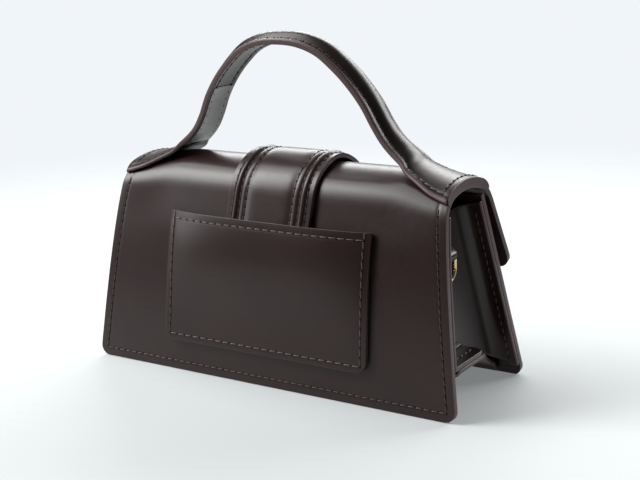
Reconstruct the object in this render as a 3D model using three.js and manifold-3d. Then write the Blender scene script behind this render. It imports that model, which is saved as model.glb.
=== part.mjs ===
// A small structured leather handbag with a front flap, a short arched top handle, a slip
// pocket on its back and a D-ring on each end. Millimetres, +Z up. The flap side faces -Y and
// the pocket side +Y. The origin is on the floor, under the middle of the bag.
import * as THREE from "three";
import { mergeVertices } from "three/addons/utils/BufferGeometryUtils.js";
import Module from "manifold-3d";

const wasm = await Module();
wasm.setup();

// Body: outline from the front
const bagWidth = 180; // across the two ends, on the floor
const sideTaper = 0.123; // how much each end closes in per mm of height
const footCorner = 5; // radius of the panels' lower corners
const flapCorner = 5.5; // radius of the flap's lower corners

// Body: outline from the end
const bagDepth = 65.8; // outside of the back panel to outside of the front panel, on the floor
const bodyHeight = 87.6; // top of the leather at the ends, under the handle
const crownRise = 4; // how much higher the top stands between the handle's two feet
const crownInner = 0.68; // share of the half width that the raised top keeps its height on
const crownOuter = 1.02; // share of the half width where it has come down
const crownStart = 0.7; // share of bodyHeight above which the leather starts to rise with it
const crownFull = 1; // share of bodyHeight above which it rises by all of crownRise
const shoulderDraw = 2; // how much the shoulders draw in, where the top is raised
const shoulderReach = 43; // how far from the middle of the top they do, along the leather
const topShift = 0.65; // the top's middle lies this much nearer the back than the base's
const topHalfDepth = 12.88; // middle of the top to the start of its shoulder
const topSlope = 18; // degrees that the domed top has fallen by at its shoulder
const shoulderRadius = 13;
const backLean = 16; // degrees that the back leans in by, under its shoulder
const backBelly = 0.29; // share of the height where the back has turned nearly upright
const flapLean = 21.5; // degrees that the flap stands out by
const flapEdgeHeight = bodyHeight - 40.3;
const frontHeight = bodyHeight - 6.6; // the front panel ends this much below the top
const frontTopGap = 2.5; // flap to front panel, at the front panel's top edge

// Leather
const panelWall = 2.6;
const gussetWall = 1.8;
const baseWall = 1.7;
const pocketWall = 1.9;
const seam = 0.3; // between two pieces that lie on each other

// Gussets
const gussetFlange = 4.6; // width of the strip that is sewn inside each panel
const gussetBend = 6; // radius from that strip to the wall
const gussetBow = 2.1; // how far the wall sinks in the middle
const gussetTopBack = bodyHeight - 10.1;
const gussetTopMiddle = bodyHeight - 13.6;
const gussetTopFront = bodyHeight - 9.1;
const footStripReach = 0.5; // share of the base's depth that the strip sewn on it covers
const footStripCorner = 4;

// Base
const baseLift = 17.9; // middle of the raised base's thickness above the floor
const baseFlangeInset = 8; // from the panels' ends to the base's hidden strips
const footStripHeight = 1; // lower edge of those strips above the floor
const baseEdge = 0.3; // from the panels' ends to the base's own ends, where it lies level
const baseFrontInset = 10.5; // and at the front panel's foot
const baseClear = 1.4; // base's middle to the gussets' lower edges, where the base falls
// The base lies level behind and falls to the front panel's foot: across is its way from the
// back panel to the front panel, up is a share of baseLift, and inset is its way from baseEdge
// to baseFrontInset
const baseFold = [
  { across: 0.0, up: 0.8, inset: 0.75 },
  { across: 0.03, up: 0.95, inset: 0.04 },
  { across: 0.08, up: 1.0, inset: 0.0 },
  { across: 0.3, up: 1.0, inset: 0.0 },
  { across: 0.47, up: 0.99, inset: 0.0 },
  { across: 0.56, up: 0.94, inset: 0.18 },
  { across: 0.68, up: 0.78, inset: 0.5 },
  { across: 0.8, up: 0.56, inset: 0.78 },
  { across: 0.91, up: 0.36, inset: 0.95 },
  { across: 0.98, up: 0.25, inset: 1.0 },
];

// Back pocket
const pocketTopWidth = 99.5;
const pocketFootWidth = 101.3;
const pocketTop = 68.6;
const pocketFoot = 13.7;
const pocketCorner = 5;
const pocketSlackStart = 0.1; // share of its height where it starts to stand off the back
const pocketSlackFull = 0.82; // share of its height where it leaves the band its full room

// Centre band
const bandWidth = 41.1;
const bandWall = 2.2;
const bandRaise = 0.5; // the padded middle stands this much higher
const bandBorder = 4.6; // from its edge to that padded middle
const bandSlope = 0.8; // width of the rise to that padded middle
const bandRounding = 1.2; // width of its rounded edge
const bandLift = 1.3; // how far it stands off the middle of the top
const bandLiftReach = 22; // how far from there it lies on the leather again
const bandTuck = 7.5; // hidden length under the pocket's top edge
const bandFrontGap = 4; // from its front end to the flap's lower edge
const bandCorner = 4;

// Handle
const gripHeight = 48.3; // clear height under the arch, above the leather
const strapHalf = 8.1; // half of the strap's width along the arch
const strapWall = 4.7; // thickness of the padded arch
const strapHollow = 0.6; // how far the arch's underside is hollowed
const strapEdge = 2.2; // how much thinner the arch is at its edges
const footWall = 1.7; // thickness where it is sewn down
const footHalfGirth = 19.6; // half of its length over the top, at its ends
const handleSway = 2.1; // the arch's top stands this much nearer the +X end
const handleLean = 3.3; // and this much nearer the back
// From one end of the handle to its crest: along is a share of the half width, lift one of
// gripHeight, flare how much of the spread from arch to foot is left, and drape how closely
// the strap follows the bag's top
const handleRun = [
  { along: 1.0, lift: 0.0, flare: 1.0, drape: 1.0 },
  { along: 0.895, lift: 0.0, flare: 0.81, drape: 1.0 },
  { along: 0.805, lift: 0.005, flare: 0.55, drape: 0.96 },
  { along: 0.735, lift: 0.022, flare: 0.37, drape: 0.78 },
  { along: 0.69, lift: 0.062, flare: 0.21, drape: 0.4 },
  { along: 0.638, lift: 0.115, flare: 0.125, drape: 0.1 },
  { along: 0.58, lift: 0.205, flare: 0.06, drape: 0.01 },
  { along: 0.528, lift: 0.33, flare: 0.015, drape: 0.0 },
  { along: 0.469, lift: 0.512, flare: 0.0, drape: 0.0 },
  { along: 0.394, lift: 0.678, flare: 0.0, drape: 0.0 },
  { along: 0.315, lift: 0.809, flare: 0.0, drape: 0.0 },
  { along: 0.224, lift: 0.923, flare: 0.0, drape: 0.0 },
  { along: 0.115, lift: 0.985, flare: 0.0, drape: 0.0 },
  { along: 0.0, lift: 1.0, flare: 0.0, drape: 0.0 },
];

// D-rings and their leather loops
const ringWire = 0.9; // radius of the wire
const ringHalfWidth = 5; // middle of the ring to the middle of its wire
const ringDrop = 10.6; // its straight bar to its lowest point, wire middles
const ringCorner = 1.6; // radius of the bends beside the bar
const ringBarHeight = bodyHeight - 28.6; // the bar above the floor
const ringPlace = 0.375; // where it hangs on the gusset's wall, as a share from the back
const ringPlay = 0.35; // between the bar and its loop
const loopWall = 1.3;
const loopHalfWidth = 2.8;
const loopRise = 9.5; // from the bar to the loop's sewn top end
const loopGap = 0.6; // from the loop's middle to the sunken wall behind it

// Magnetic snap under the flap, out of sight
const snapRadius = 7;
const snapHeight = flapEdgeHeight + 9.7;

const bodyLeather = { color: 0x33272a, roughness: 0.42, metalness: 0 };
const handleLeather = { color: 0x3a2d2f, roughness: 0.5, metalness: 0 };
const gold = { color: 0xd8b878, roughness: 0.25, metalness: 1 };

const rad = THREE.MathUtils.degToRad;
const lerp = THREE.MathUtils.lerp;
const V = (x, y, z) => new THREE.Vector3(x, y, z);

// Half of the bag's width at a height
const halfWidth = (z) => bagWidth / 2 - sideTaper * z;

// A closed geometry from points and triangles, turned to face out
function closed(points, triangles) {
  let volume = 0;
  for (let i = 0; i < triangles.length; i += 3) {
    const [a, b, c] = [0, 1, 2].map((k) => points[triangles[i + k]]);
    volume += a.dot(V(0, 0, 0).crossVectors(b, c));
  }
  if (volume < 0) triangles.reverse();
  const geometry = new THREE.BufferGeometry().setFromPoints(points);
  geometry.setIndex(triangles);
  return geometry;
}

// A wall of leather between two grids of points, closed along its four edges
function wall(outer, inner) {
  const rows = outer.length;
  const columns = outer[0].length;
  const at = (side, i, j) => (side * rows + i) * columns + j;
  const triangles = [];
  const quad = (a, b, c, d) => triangles.push(a, b, c, a, c, d);
  for (let i = 0; i < rows - 1; i++) {
    for (let j = 0; j < columns - 1; j++) {
      quad(at(0, i, j), at(0, i, j + 1), at(0, i + 1, j + 1), at(0, i + 1, j));
      quad(at(1, i, j), at(1, i + 1, j), at(1, i + 1, j + 1), at(1, i, j + 1));
    }
    quad(at(0, i, 0), at(0, i + 1, 0), at(1, i + 1, 0), at(1, i, 0));
    const last = columns - 1;
    quad(at(0, i + 1, last), at(0, i, last), at(1, i, last), at(1, i + 1, last));
  }
  for (let j = 0; j < columns - 1; j++) {
    quad(at(0, 0, j + 1), at(0, 0, j), at(1, 0, j), at(1, 0, j + 1));
    const last = rows - 1;
    quad(at(0, last, j), at(0, last, j + 1), at(1, last, j + 1), at(1, last, j));
  }
  return closed([...outer.flat(), ...inner.flat()], triangles);
}

// The joined form of geometries that run into each other
function joined(...geometries) {
  const solids = geometries.map((geometry) => {
    const bare = geometry.clone();
    bare.deleteAttribute("normal");
    bare.deleteAttribute("uv");
    const merged = mergeVertices(bare, 1e-4);
    return new wasm.Manifold(
      new wasm.Mesh({
        numProp: 3,
        vertProperties: merged.attributes.position.array,
        triVerts: new Uint32Array(merged.index.array),
      }),
    );
  });
  const mesh = solids.reduce((whole, solid) => whole.add(solid)).getMesh();
  const result = new THREE.BufferGeometry();
  result.setAttribute("position", new THREE.BufferAttribute(mesh.vertProperties, 3));
  result.setIndex(new THREE.BufferAttribute(mesh.triVerts, 1));
  return result;
}

// Straight-line reading of a table's column at a value of its first column
function read(table, key, value, column) {
  const next = table.findIndex((row) => row[key] >= value);
  if (next < 0) return table[table.length - 1][column];
  if (next === 0) return table[0][column];
  const [a, b] = [table[next - 1], table[next]];
  return lerp(a[column], b[column], (value - a[key]) / (b[key] - a[key]));
}

// The outer line of back panel, top and flap, seen from the end: each point with its outward
// normal and its distance along the leather from the back panel's foot
const shell = (() => {
  const dome = topHalfDepth / Math.sin(rad(topSlope));
  const domeDrop = dome * (1 - Math.cos(rad(topSlope)));
  const centreY = topHalfDepth - shoulderRadius * Math.sin(rad(topSlope));
  const centreZ = bodyHeight - domeDrop - shoulderRadius * Math.cos(rad(topSlope));
  const points = [];
  const arc = (y, z, radius, from, to, steps) => {
    for (let i = 1; i <= steps; i++) {
      const angle = rad(lerp(from, to, i / steps));
      points.push({ y: y + radius * Math.cos(angle), z: z + radius * Math.sin(angle) });
    }
  };
  const lean = rad(backLean);
  const backTop = {
    y: topShift + centreY + shoulderRadius * Math.cos(lean),
    z: centreZ + shoulderRadius * Math.sin(lean),
  };
  const drop = backBelly * backTop.z;
  const back = new THREE.QuadraticBezierCurve(
    new THREE.Vector2(bagDepth / 2, 0),
    new THREE.Vector2(backTop.y + drop * Math.tan(lean), backTop.z - drop),
    new THREE.Vector2(backTop.y, backTop.z),
  );
  back.getPoints(12).forEach((p) => points.push({ y: p.x, z: p.y }));
  arc(topShift + centreY, centreZ, shoulderRadius, backLean, 90 - topSlope, 7);
  arc(topShift, bodyHeight - dome, dome, 90 - topSlope, 90 + topSlope, 8);
  arc(topShift - centreY, centreZ, shoulderRadius, 90 + topSlope, 180 - flapLean, 7);
  const start = points[points.length - 1];
  const fall = start.z - flapEdgeHeight;
  for (let i = 1; i <= 5; i++) {
    const down = (fall * i) / 5;
    points.push({ y: start.y - down * Math.tan(rad(flapLean)), z: start.z - down });
  }
  let s = 0;
  points.forEach((p, i) => {
    if (i) s += Math.hypot(p.y - points[i - 1].y, p.z - points[i - 1].z);
    p.s = s;
  });
  points.forEach((p, i) => {
    const a = points[Math.max(i - 1, 0)];
    const b = points[Math.min(i + 1, points.length - 1)];
    const length = Math.hypot(b.y - a.y, b.z - a.z);
    p.ny = (b.z - a.z) / length;
    p.nz = (a.y - b.y) / length;
  });
  return points;
})();
const shellLength = shell[shell.length - 1].s;
const crestIndex = shell.reduce((best, p, i) => (p.z > shell[best].z ? i : best), 0);
const crestAlong = shell[crestIndex].s;

const onShell = (s) => ({
  y: read(shell, "s", s, "y"),
  z: read(shell, "s", s, "z"),
  ny: read(shell, "s", s, "ny"),
  nz: read(shell, "s", s, "nz"),
});

// Where the back panel's outer face is at a height, and how far along the leather that is
const backRows = shell.slice(0, crestIndex + 1);
const backFace = (z) => read(backRows, "z", z, "y");
const backAlong = (z) => read(backRows, "z", z, "s");
const backInside = (z) => backFace(z) - panelWall / Math.cos(rad(backLean) / 2) - seam;

// 1 where the top stands highest, 0 at the bag's ends
const { smoothstep } = THREE.MathUtils;
function raised(x) {
  const half = halfWidth(bodyHeight);
  return 1 - smoothstep(Math.abs(x), crownInner * half, crownOuter * half);
}

// How much the top is raised at a place along the bag, for leather of a given height
const crown = (x, z) =>
  crownRise * raised(x) * smoothstep(z / bodyHeight, crownStart, crownFull);

// How much the shoulders are drawn in there
function drawnIn(s, x) {
  const share = Math.min(Math.abs(s - crestAlong) / shoulderReach, 1);
  return shoulderDraw * raised(x) * Math.sin(share * Math.PI) ** 2;
}

// A point that stands off the shell's outer face, at a place along the bag
function offShell(s, x, off) {
  const p = onShell(s);
  const out = off - drawnIn(s, x);
  return V(x, p.y + out * p.ny, p.z + out * p.nz + crown(x, p.z));
}

// Distances from an edge, and how much the outline has drawn in there, round a corner
const cornerSteps = 4;
function cornerRows(radius) {
  return Array.from({ length: cornerSteps + 1 }, (_, k) => {
    const angle = (k / cornerSteps) * (Math.PI / 2);
    return { from: radius * (1 - Math.cos(angle)), inset: radius * (1 - Math.sin(angle)) };
  });
}

// Even places across a piece, with more of them where the top comes down to the ends
const shellColumns = [0, 0.3, 0.55, 0.64, 0.72, 0.8, 0.88, 0.95, 1];
const mirrored = (shares) => [...shares.slice(1).reverse().map((u) => -u), ...shares];

function backAndFlap() {
  const rows = [
    ...cornerRows(footCorner).map((c) => ({ s: c.from, inset: c.inset })),
    ...shell
      .filter((p) => p.s > footCorner + 1 && p.s < shellLength - flapCorner - 1)
      .map((p) => ({ s: p.s, inset: 0 })),
    ...cornerRows(flapCorner)
      .reverse()
      .map((c) => ({ s: shellLength - c.from, inset: c.inset })),
  ];
  const grid = (off) =>
    rows.map(({ s, inset }, i) => {
      const half = halfWidth(onShell(s).z) - inset;
      return mirrored(shellColumns).map((u) => {
        const point = offShell(s, u * half, off);
        if (i === 0) point.z = 0;
        return point;
      });
    });
  return wall(grid(0), grid(-panelWall));
}

// The front panel is flat, from the floor up to its top edge under the flap
const flapRows = shell.slice(crestIndex).reverse();
function flapInside(z) {
  const hit = flapRows
    .map((p) => ({ y: p.y - panelWall * p.ny, z: p.z - panelWall * p.nz }))
    .filter((p, i, all) => i === 0 || p.z > all[i - 1].z);
  return read(hit, "z", z, "y");
}
const frontTopFace = flapInside(frontHeight) + frontTopGap;
const frontFace = (z) => lerp(-bagDepth / 2, frontTopFace, z / frontHeight);
const frontSlope = Math.atan2(frontTopFace + bagDepth / 2, frontHeight);
const frontInside = (z) => frontFace(z) + panelWall / Math.cos(frontSlope) + seam;

function frontPanel() {
  const length = frontHeight / Math.cos(frontSlope);
  const rows = [
    ...cornerRows(footCorner).map((c) => ({ s: c.from, inset: c.inset })),
    ...[0.3, 0.6, 1].map((u) => ({ s: u * length, inset: 0 })),
  ];
  const grid = (off) =>
    rows.map(({ s, inset }) => {
      const z = s * Math.cos(frontSlope);
      const half = halfWidth(z) - inset;
      return mirrored([0, 0.5, 1]).map((u) => V(u * half, frontFace(z) + off, z));
    });
  return wall(grid(0), grid(panelWall / Math.cos(frontSlope)));
}

// The base's middle line from the back panel to the front panel
const webBack = (z) => backInside(z) - baseWall / 2;
const webFront = (z) => frontInside(z) + baseWall / 2;
const web = baseFold.map(({ across, up, inset }) => {
  const z = up * baseLift;
  const y = lerp(webBack(baseLift), webFront(z), across);
  return { y, z, inset: lerp(baseEdge, baseFrontInset, inset) };
});
const webLine = [...web].reverse();
const webHeight = (y) => read(webLine, "y", y, "z");

function basePanel() {
  const foot = footStripHeight;
  const bend = (foot + web[0].z) / 2;
  const line = [
    { y: webBack(foot), z: foot, inset: baseFlangeInset },
    { y: webBack(bend), z: bend, inset: baseFlangeInset },
    ...web,
    { y: webFront(foot), z: foot, inset: baseFrontInset },
  ];
  const normals = line.map((p, i) => {
    const a = line[Math.max(i - 1, 0)];
    const b = line[Math.min(i + 1, line.length - 1)];
    const length = Math.hypot(b.y - a.y, b.z - a.z);
    return { y: (b.z - a.z) / length, z: (a.y - b.y) / length };
  });
  const grid = (off) =>
    line.map((p, i) => {
      const half = halfWidth(p.z) - p.inset;
      const at = (u) => V(u * half, p.y + off * normals[i].y, p.z + off * normals[i].z);
      return mirrored([0, 0.5, 1]).map(at);
    });
  return wall(grid(baseWall / 2), grid(-baseWall / 2));
}

// One gusset: strips sewn inside both panels, a wall that is set back, and a strip on the base.
// A column of the wall is a place round its section, from the back panel to the front panel
const gussetSection = [
  ...[0, 0.5, 1].map((u) => ({ part: "back", u })),
  ...[0.25, 0.5, 0.75].map((u) => ({ part: "backBend", u })),
  ...[0, 0.17, 0.33, 0.5, 0.67, 0.83, 1].map((u) => ({ part: "wall", u })),
  ...[0.25, 0.5, 0.75].map((u) => ({ part: "frontBend", u })),
  ...[0, 0.5, 1].map((u) => ({ part: "front", u })),
];
const wallInset = gussetFlange + gussetBend;
const onBase = baseLift + baseWall / 2 + seam; // lower face of what lies on the level base

// Distance in from the bag's end, and y, of the middle of the gusset's leather
function gussetPoint({ part, u }, z) {
  const back = backInside(z) - gussetWall / 2;
  const front = frontInside(z) + gussetWall / 2;
  const turn = (u * Math.PI) / 2;
  if (part === "back") return { inset: u * gussetFlange, y: back };
  if (part === "backBend")
    return {
      inset: gussetFlange + gussetBend * Math.sin(turn),
      y: back - gussetBend * (1 - Math.cos(turn)),
    };
  if (part === "wall")
    return {
      inset: wallInset + gussetBow * (1 - (2 * u - 1) ** 2),
      y: lerp(back - gussetBend, front + gussetBend, u),
    };
  if (part === "frontBend")
    return {
      inset: gussetFlange + gussetBend * Math.cos(turn),
      y: front + gussetBend * (1 - Math.sin(turn)),
    };
  return { inset: (1 - u) * gussetFlange, y: front };
}

const gussetTop = (share) =>
  share < 0.5
    ? lerp(gussetTopBack, gussetTopMiddle, Math.sin(share * Math.PI))
    : lerp(gussetTopFront, gussetTopMiddle, Math.sin(share * Math.PI));

function gussetBottom(column) {
  if (column.part === "front") return footCorner + seam;
  if (column.part === "back" || column.part === "backBend") return onBase;
  return Math.min(onBase, webHeight(gussetPoint(column, onBase).y) + baseClear);
}

function gusset(side) {
  const heights = [0, 0.08, 0.2, 0.35, 0.5, 0.65, 0.8, 0.92, 1];
  const last = gussetSection.length - 1;
  const middles = heights.map((v) =>
    gussetSection.map((column, j) => {
      const z = lerp(gussetBottom(column), gussetTop(j / last), v);
      const p = gussetPoint(column, z);
      return { x: halfWidth(z) - p.inset, y: p.y, z };
    }),
  );
  const grid = (off) =>
    middles.map((row) =>
      row.map((p, j) => {
        const a = row[Math.max(j - 1, 0)];
        const b = row[Math.min(j + 1, last)];
        const length = Math.hypot(b.x - a.x, b.y - a.y);
        const x = p.x + (off * (a.y - b.y)) / length;
        return V(side * x, p.y + (off * (b.x - a.x)) / length, p.z);
      }),
    );
  const upright = wall(grid(gussetWall / 2), grid(-gussetWall / 2));
  return joined(upright, footStrip(side));
}

// The gusset's lower strip lies on the level half of the base, out to the bag's end
function footStrip(side) {
  const high = onBase + gussetWall;
  const end = halfWidth(baseLift) - baseEdge;
  const inside = end - wallInset - gussetBow;
  const back = backInside(high) - gussetWall / 2;
  const front = lerp(webBack(baseLift), webFront(baseLift), footStripReach);
  const corner = cornerRows(footStripCorner).reverse();
  const plan = [
    [end, back],
    ...corner.map((c) => [end - c.inset, front + c.from]),
    [inside, front],
    [inside, back],
  ];
  const ring = (z) => plan.map(([x, y]) => V(side * x, y, z));
  const count = plan.length;
  const triangles = [];
  const hub = count - 1;
  for (let i = 0; i < hub - 1; i++) {
    triangles.push(hub, i, i + 1, count + hub, count + i + 1, count + i);
  }
  for (let i = 0; i < count; i++) {
    const next = (i + 1) % count;
    triangles.push(i, count + i, next, next, count + i, count + next);
  }
  return closed([...ring(onBase), ...ring(high)], triangles);
}

// The slip pocket stands a little out towards its top, so that the band's end fits behind it
function backPocket() {
  const fullness = bandWall + bandRaise + 2 * seam;
  const height = pocketTop - pocketFoot;
  const rows = [
    ...cornerRows(pocketCorner).map((c) => ({ up: c.from, inset: c.inset })),
    ...[0.2, 0.35, 0.5, 0.65, 0.8, 0.9, 1].map((u) => ({ up: u * height, inset: 0 })),
  ];
  const grid = (off) =>
    rows.map(({ up, inset }) => {
      const z = pocketFoot + up;
      const share = up / height;
      const half = lerp(pocketFootWidth, pocketTopWidth, share) / 2 - inset;
      const full = fullness * smoothstep(share, pocketSlackStart, pocketSlackFull);
      return mirrored([0, 0.2, 0.4, 0.6, 0.75, 0.88, 1]).map((u) => {
        const point = offShell(backAlong(z), u * half, seam + off);
        point.y += full * (1 - u ** 4);
        return point;
      });
    });
  return wall(grid(pocketWall), grid(0));
}

// The band runs from behind the pocket over the top and down the flap
function centreBand() {
  const start = backAlong(pocketTop - bandTuck);
  const end = shellLength - bandFrontGap;
  const rows = [
    { s: start, inset: 0 },
    ...shell
      .filter((p) => p.s > start + 1 && p.s < end - bandCorner - 1)
      .map((p) => ({ s: p.s, inset: 0 })),
    ...cornerRows(bandCorner)
      .reverse()
      .map((c) => ({ s: end - c.from, inset: c.inset })),
  ];
  const inFrom = (distance) => 1 - distance / (bandWidth / 2);
  const field = inFrom(bandBorder);
  const rise = inFrom(bandBorder + bandSlope);
  const columns = mirrored([0, rise / 2, rise, field, inFrom(bandRounding), 1]);
  const raise = (u) => {
    if (Math.abs(u) < field) return bandRaise;
    return Math.abs(u) < 1 ? 0 : -bandRaise;
  };
  const lift = (s) => bandLift * (1 - smoothstep(Math.abs(s - crestAlong), 0, bandLiftReach));
  const grid = (top) =>
    rows.map(({ s, inset }) =>
      columns.map((u) => {
        const x = u * (bandWidth / 2 - inset);
        return offShell(s, x, seam + lift(s) + (top ? bandWall + raise(u) : 0));
      }),
    );
  return wall(grid(true), grid(false));
}

// The handle: places on it run from its -X end over the crest to its +X end
function handle() {
  const reach = halfWidth(bodyHeight);
  const column = (key) => handleRun.map((row) => row[key]);
  const curve = (first, second) => {
    const [a, b] = [column(first), column(second)];
    const half = a.map((value, i) => V(value, b[i], 0));
    const other = half.slice(0, -1).reverse().map((p) => V(-p.x, p.y, 0));
    return new THREE.CatmullRomCurve3([...half, ...other]);
  };
  const path = curve("along", "lift");
  const spread = curve("along", "flare");
  const hang = curve("along", "drape");
  const steps = 48;
  const nearby = 0.1 / steps;
  const crest = onShell(crestAlong);
  const across = mirrored([0, 0.35, 0.65, 0.74, 0.83, 0.92, 1]);
  const centre = (t) => {
    const p = path.getPoint(t);
    const x = -p.x * reach;
    const lift = Math.max(p.y, 0);
    const z = bodyHeight + crown(x, bodyHeight) + lift * gripHeight;
    return { x, z, lift };
  };
  const section = (t, top) => {
    const here = centre(t);
    const before = centre(Math.max(t - nearby, 0));
    const after = centre(Math.min(t + nearby, 1));
    const slope = Math.atan2(after.z - before.z, after.x - before.x);
    const drape = THREE.MathUtils.clamp(hang.getPoint(t).y, 0, 1);
    const flare = THREE.MathUtils.clamp(spread.getPoint(t).y, 0, 1);
    const half = lerp(strapHalf, footHalfGirth, flare);
    const thick = lerp(strapWall, footWall, Math.max(drape, flare));
    return across.map((u) => {
      const lies = onShell(crestAlong - u * half);
      const flat = { y: u * half, up: strapHollow * (1 - u * u) * (1 - drape) };
      const y = lerp(flat.y, lies.y - crest.y, drape);
      const up = lerp(flat.up, lies.z - crest.z, drape);
      const ny = lerp(0, lies.ny, drape);
      const nz = lerp(1, lies.nz, drape);
      const rounded = strapEdge * (1 - drape) * Math.abs(u) ** 3;
      const off = seam + (top ? thick - rounded : 0);
      const rise = up + off * nz;
      // Where it is sewn down, the strap's end is cut flush with the bag's slanting end
      const flush = halfWidth(lies.z) / reach;
      const x = here.x * lerp(1, flush, drape) - rise * Math.sin(slope);
      return V(
        x + handleSway * here.lift,
        crest.y + y + off * ny + handleLean * here.lift,
        here.z + rise * Math.cos(slope),
      );
    });
  };
  const stations = Array.from({ length: steps + 1 }, (_, i) => i / steps);
  return wall(
    stations.map((t) => section(t, true)),
    stations.map((t) => section(t, false)),
  );
}

// Where the outside of a gusset's wall is, behind the D-ring
function wallFace(z) {
  const middle = gussetPoint({ part: "wall", u: ringPlace }, z);
  return { x: halfWidth(z) - middle.inset + gussetWall / 2, y: middle.y };
}

// A D-ring of straight lengths of wire, mitred where they meet, so that each facet is flat
function ringGeometry() {
  const path = [];
  const arc = (y, z, radius, from, to, steps) => {
    for (let i = 0; i <= steps; i++) {
      const angle = rad(lerp(from, to, i / steps));
      path.push(new THREE.Vector2(y + radius * Math.cos(angle), z + radius * Math.sin(angle)));
    }
  };
  const side = ringHalfWidth - ringCorner;
  arc(side, -ringCorner, ringCorner, 90, 0, 3);
  arc(0, ringHalfWidth - ringDrop, ringHalfWidth, 0, -180, 14);
  arc(-side, -ringCorner, ringCorner, 180, 90, 3);
  const facets = 6;
  const points = [];
  const triangles = [];
  path.forEach((at, i) => {
    const next = path[(i + 1) % path.length];
    const ahead = next.clone().sub(at).normalize();
    const behind = at.clone().sub(path.at(i - 1)).normalize();
    const along = ahead.clone().add(behind).normalize();
    const across = new THREE.Vector2(-along.y, along.x).divideScalar(along.dot(ahead));
    for (let k = 0; k < facets; k++) {
      const angle = (k / facets) * 2 * Math.PI;
      const offset = ringWire * Math.cos(angle);
      points.push(
        V(ringWire * Math.sin(angle), at.x + across.x * offset, at.y + across.y * offset),
      );
      const a = i * facets + k;
      const b = i * facets + ((k + 1) % facets);
      const turn = ((i + 1) % path.length) * facets - i * facets;
      triangles.push(a, b, a + turn, b, b + turn, a + turn);
    }
  });
  return closed(points, triangles);
}

// A strip of leather folded round the ring's bar: its outline from the side, then its width
function loopGeometry() {
  const outer = ringWire + ringPlay + loopWall;
  const shape = new THREE.Shape();
  shape.moveTo(-outer, loopRise);
  shape.lineTo(-outer, 0);
  shape.absarc(0, 0, outer, Math.PI, 2 * Math.PI, false);
  shape.quadraticCurveTo(outer, outer, 2 * loopWall - outer, 2 * outer);
  shape.lineTo(2 * loopWall - outer, loopRise);
  const eye = new THREE.Path();
  eye.absarc(0, 0, ringWire + ringPlay, 0, 2 * Math.PI, true);
  shape.holes.push(eye);
  const options = { depth: 2 * loopHalfWidth, curveSegments: 8, bevelEnabled: false };
  return new THREE.ExtrudeGeometry(shape, options).translate(0, 0, -loopHalfWidth);
}

// A plain disc between the flap's inside and the front panel
function snapGeometry() {
  const count = 20;
  const sides = [
    (z) => flapInside(z) + seam,
    (z) => frontFace(z) - seam,
  ];
  const points = [];
  for (const face of sides) {
    points.push(V(0, face(snapHeight), snapHeight));
    for (let i = 0; i < count; i++) {
      const angle = (i / count) * 2 * Math.PI;
      const z = snapHeight + snapRadius * Math.sin(angle);
      points.push(V(snapRadius * Math.cos(angle), face(z), z));
    }
  }
  const triangles = [];
  const far = count + 1;
  for (let i = 0; i < count; i++) {
    const [a, b] = [1 + i, 1 + ((i + 1) % count)];
    triangles.push(0, a, b, far, far + b, far + a);
    triangles.push(a, far + a, b, b, far + a, far + b);
  }
  return closed(points, triangles);
}

const bag = new THREE.Group();

function piece(name, geometry, look, parent = bag) {
  const mesh = new THREE.Mesh(geometry, new THREE.MeshStandardMaterial(look));
  mesh.name = name;
  parent.add(mesh);
  return mesh;
}

piece("back_and_flap", backAndFlap(), bodyLeather);
piece("front_panel", frontPanel(), bodyLeather);
piece("base_panel", basePanel(), bodyLeather);
piece("back_pocket", backPocket(), bodyLeather);
piece("centre_band", centreBand(), bodyLeather);
piece("handle", handle(), handleLeather);
piece("magnetic_snap", snapGeometry(), gold);

for (const [end, side] of [
  ["left", -1],
  ["right", 1],
]) {
  piece("gusset_" + end, gusset(side), bodyLeather);
  const place = wallFace(ringBarHeight);
  const standOff = loopGap + loopWall + ringPlay + ringWire;
  const bar = new THREE.Group();
  bar.position.set(side * (place.x + standOff), place.y, ringBarHeight);
  bag.add(bar);
  piece("d_ring_" + end, ringGeometry(), gold, bar);
  // The loop leans in with the wall that it is sewn to
  const lean = new THREE.Group();
  lean.rotation.y = -side * Math.atan(sideTaper);
  bar.add(lean);
  const loop = piece("ring_loop_" + end, loopGeometry(), bodyLeather, lean);
  loop.rotation.set(Math.PI / 2, side > 0 ? 0 : Math.PI, 0);
}

export default bag;
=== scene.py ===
import math

import bpy
import numpy as np
from mathutils import Matrix, Vector


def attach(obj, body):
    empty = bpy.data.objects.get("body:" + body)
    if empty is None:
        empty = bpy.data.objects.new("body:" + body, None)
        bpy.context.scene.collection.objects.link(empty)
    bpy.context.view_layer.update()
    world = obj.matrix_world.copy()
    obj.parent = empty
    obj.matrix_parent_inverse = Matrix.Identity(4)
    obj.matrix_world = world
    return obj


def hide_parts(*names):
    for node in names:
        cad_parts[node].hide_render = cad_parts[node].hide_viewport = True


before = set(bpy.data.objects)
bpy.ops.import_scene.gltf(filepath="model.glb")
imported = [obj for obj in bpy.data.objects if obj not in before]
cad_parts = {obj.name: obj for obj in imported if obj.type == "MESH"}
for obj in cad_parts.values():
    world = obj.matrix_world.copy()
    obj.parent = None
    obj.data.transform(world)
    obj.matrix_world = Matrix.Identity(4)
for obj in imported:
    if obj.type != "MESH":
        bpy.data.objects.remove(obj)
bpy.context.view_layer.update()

bl_info = {
    "name": "Leather handbag",
    "version": (1, 0, 0),
    "blender": (4, 5, 0),
    "location": "3D View > Sidebar > Handbag",
    "description": "Dresses the handbag's frame in leather, stitching, edge paint and gold",
    "category": "Object",
}

MM = 0.001

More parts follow.
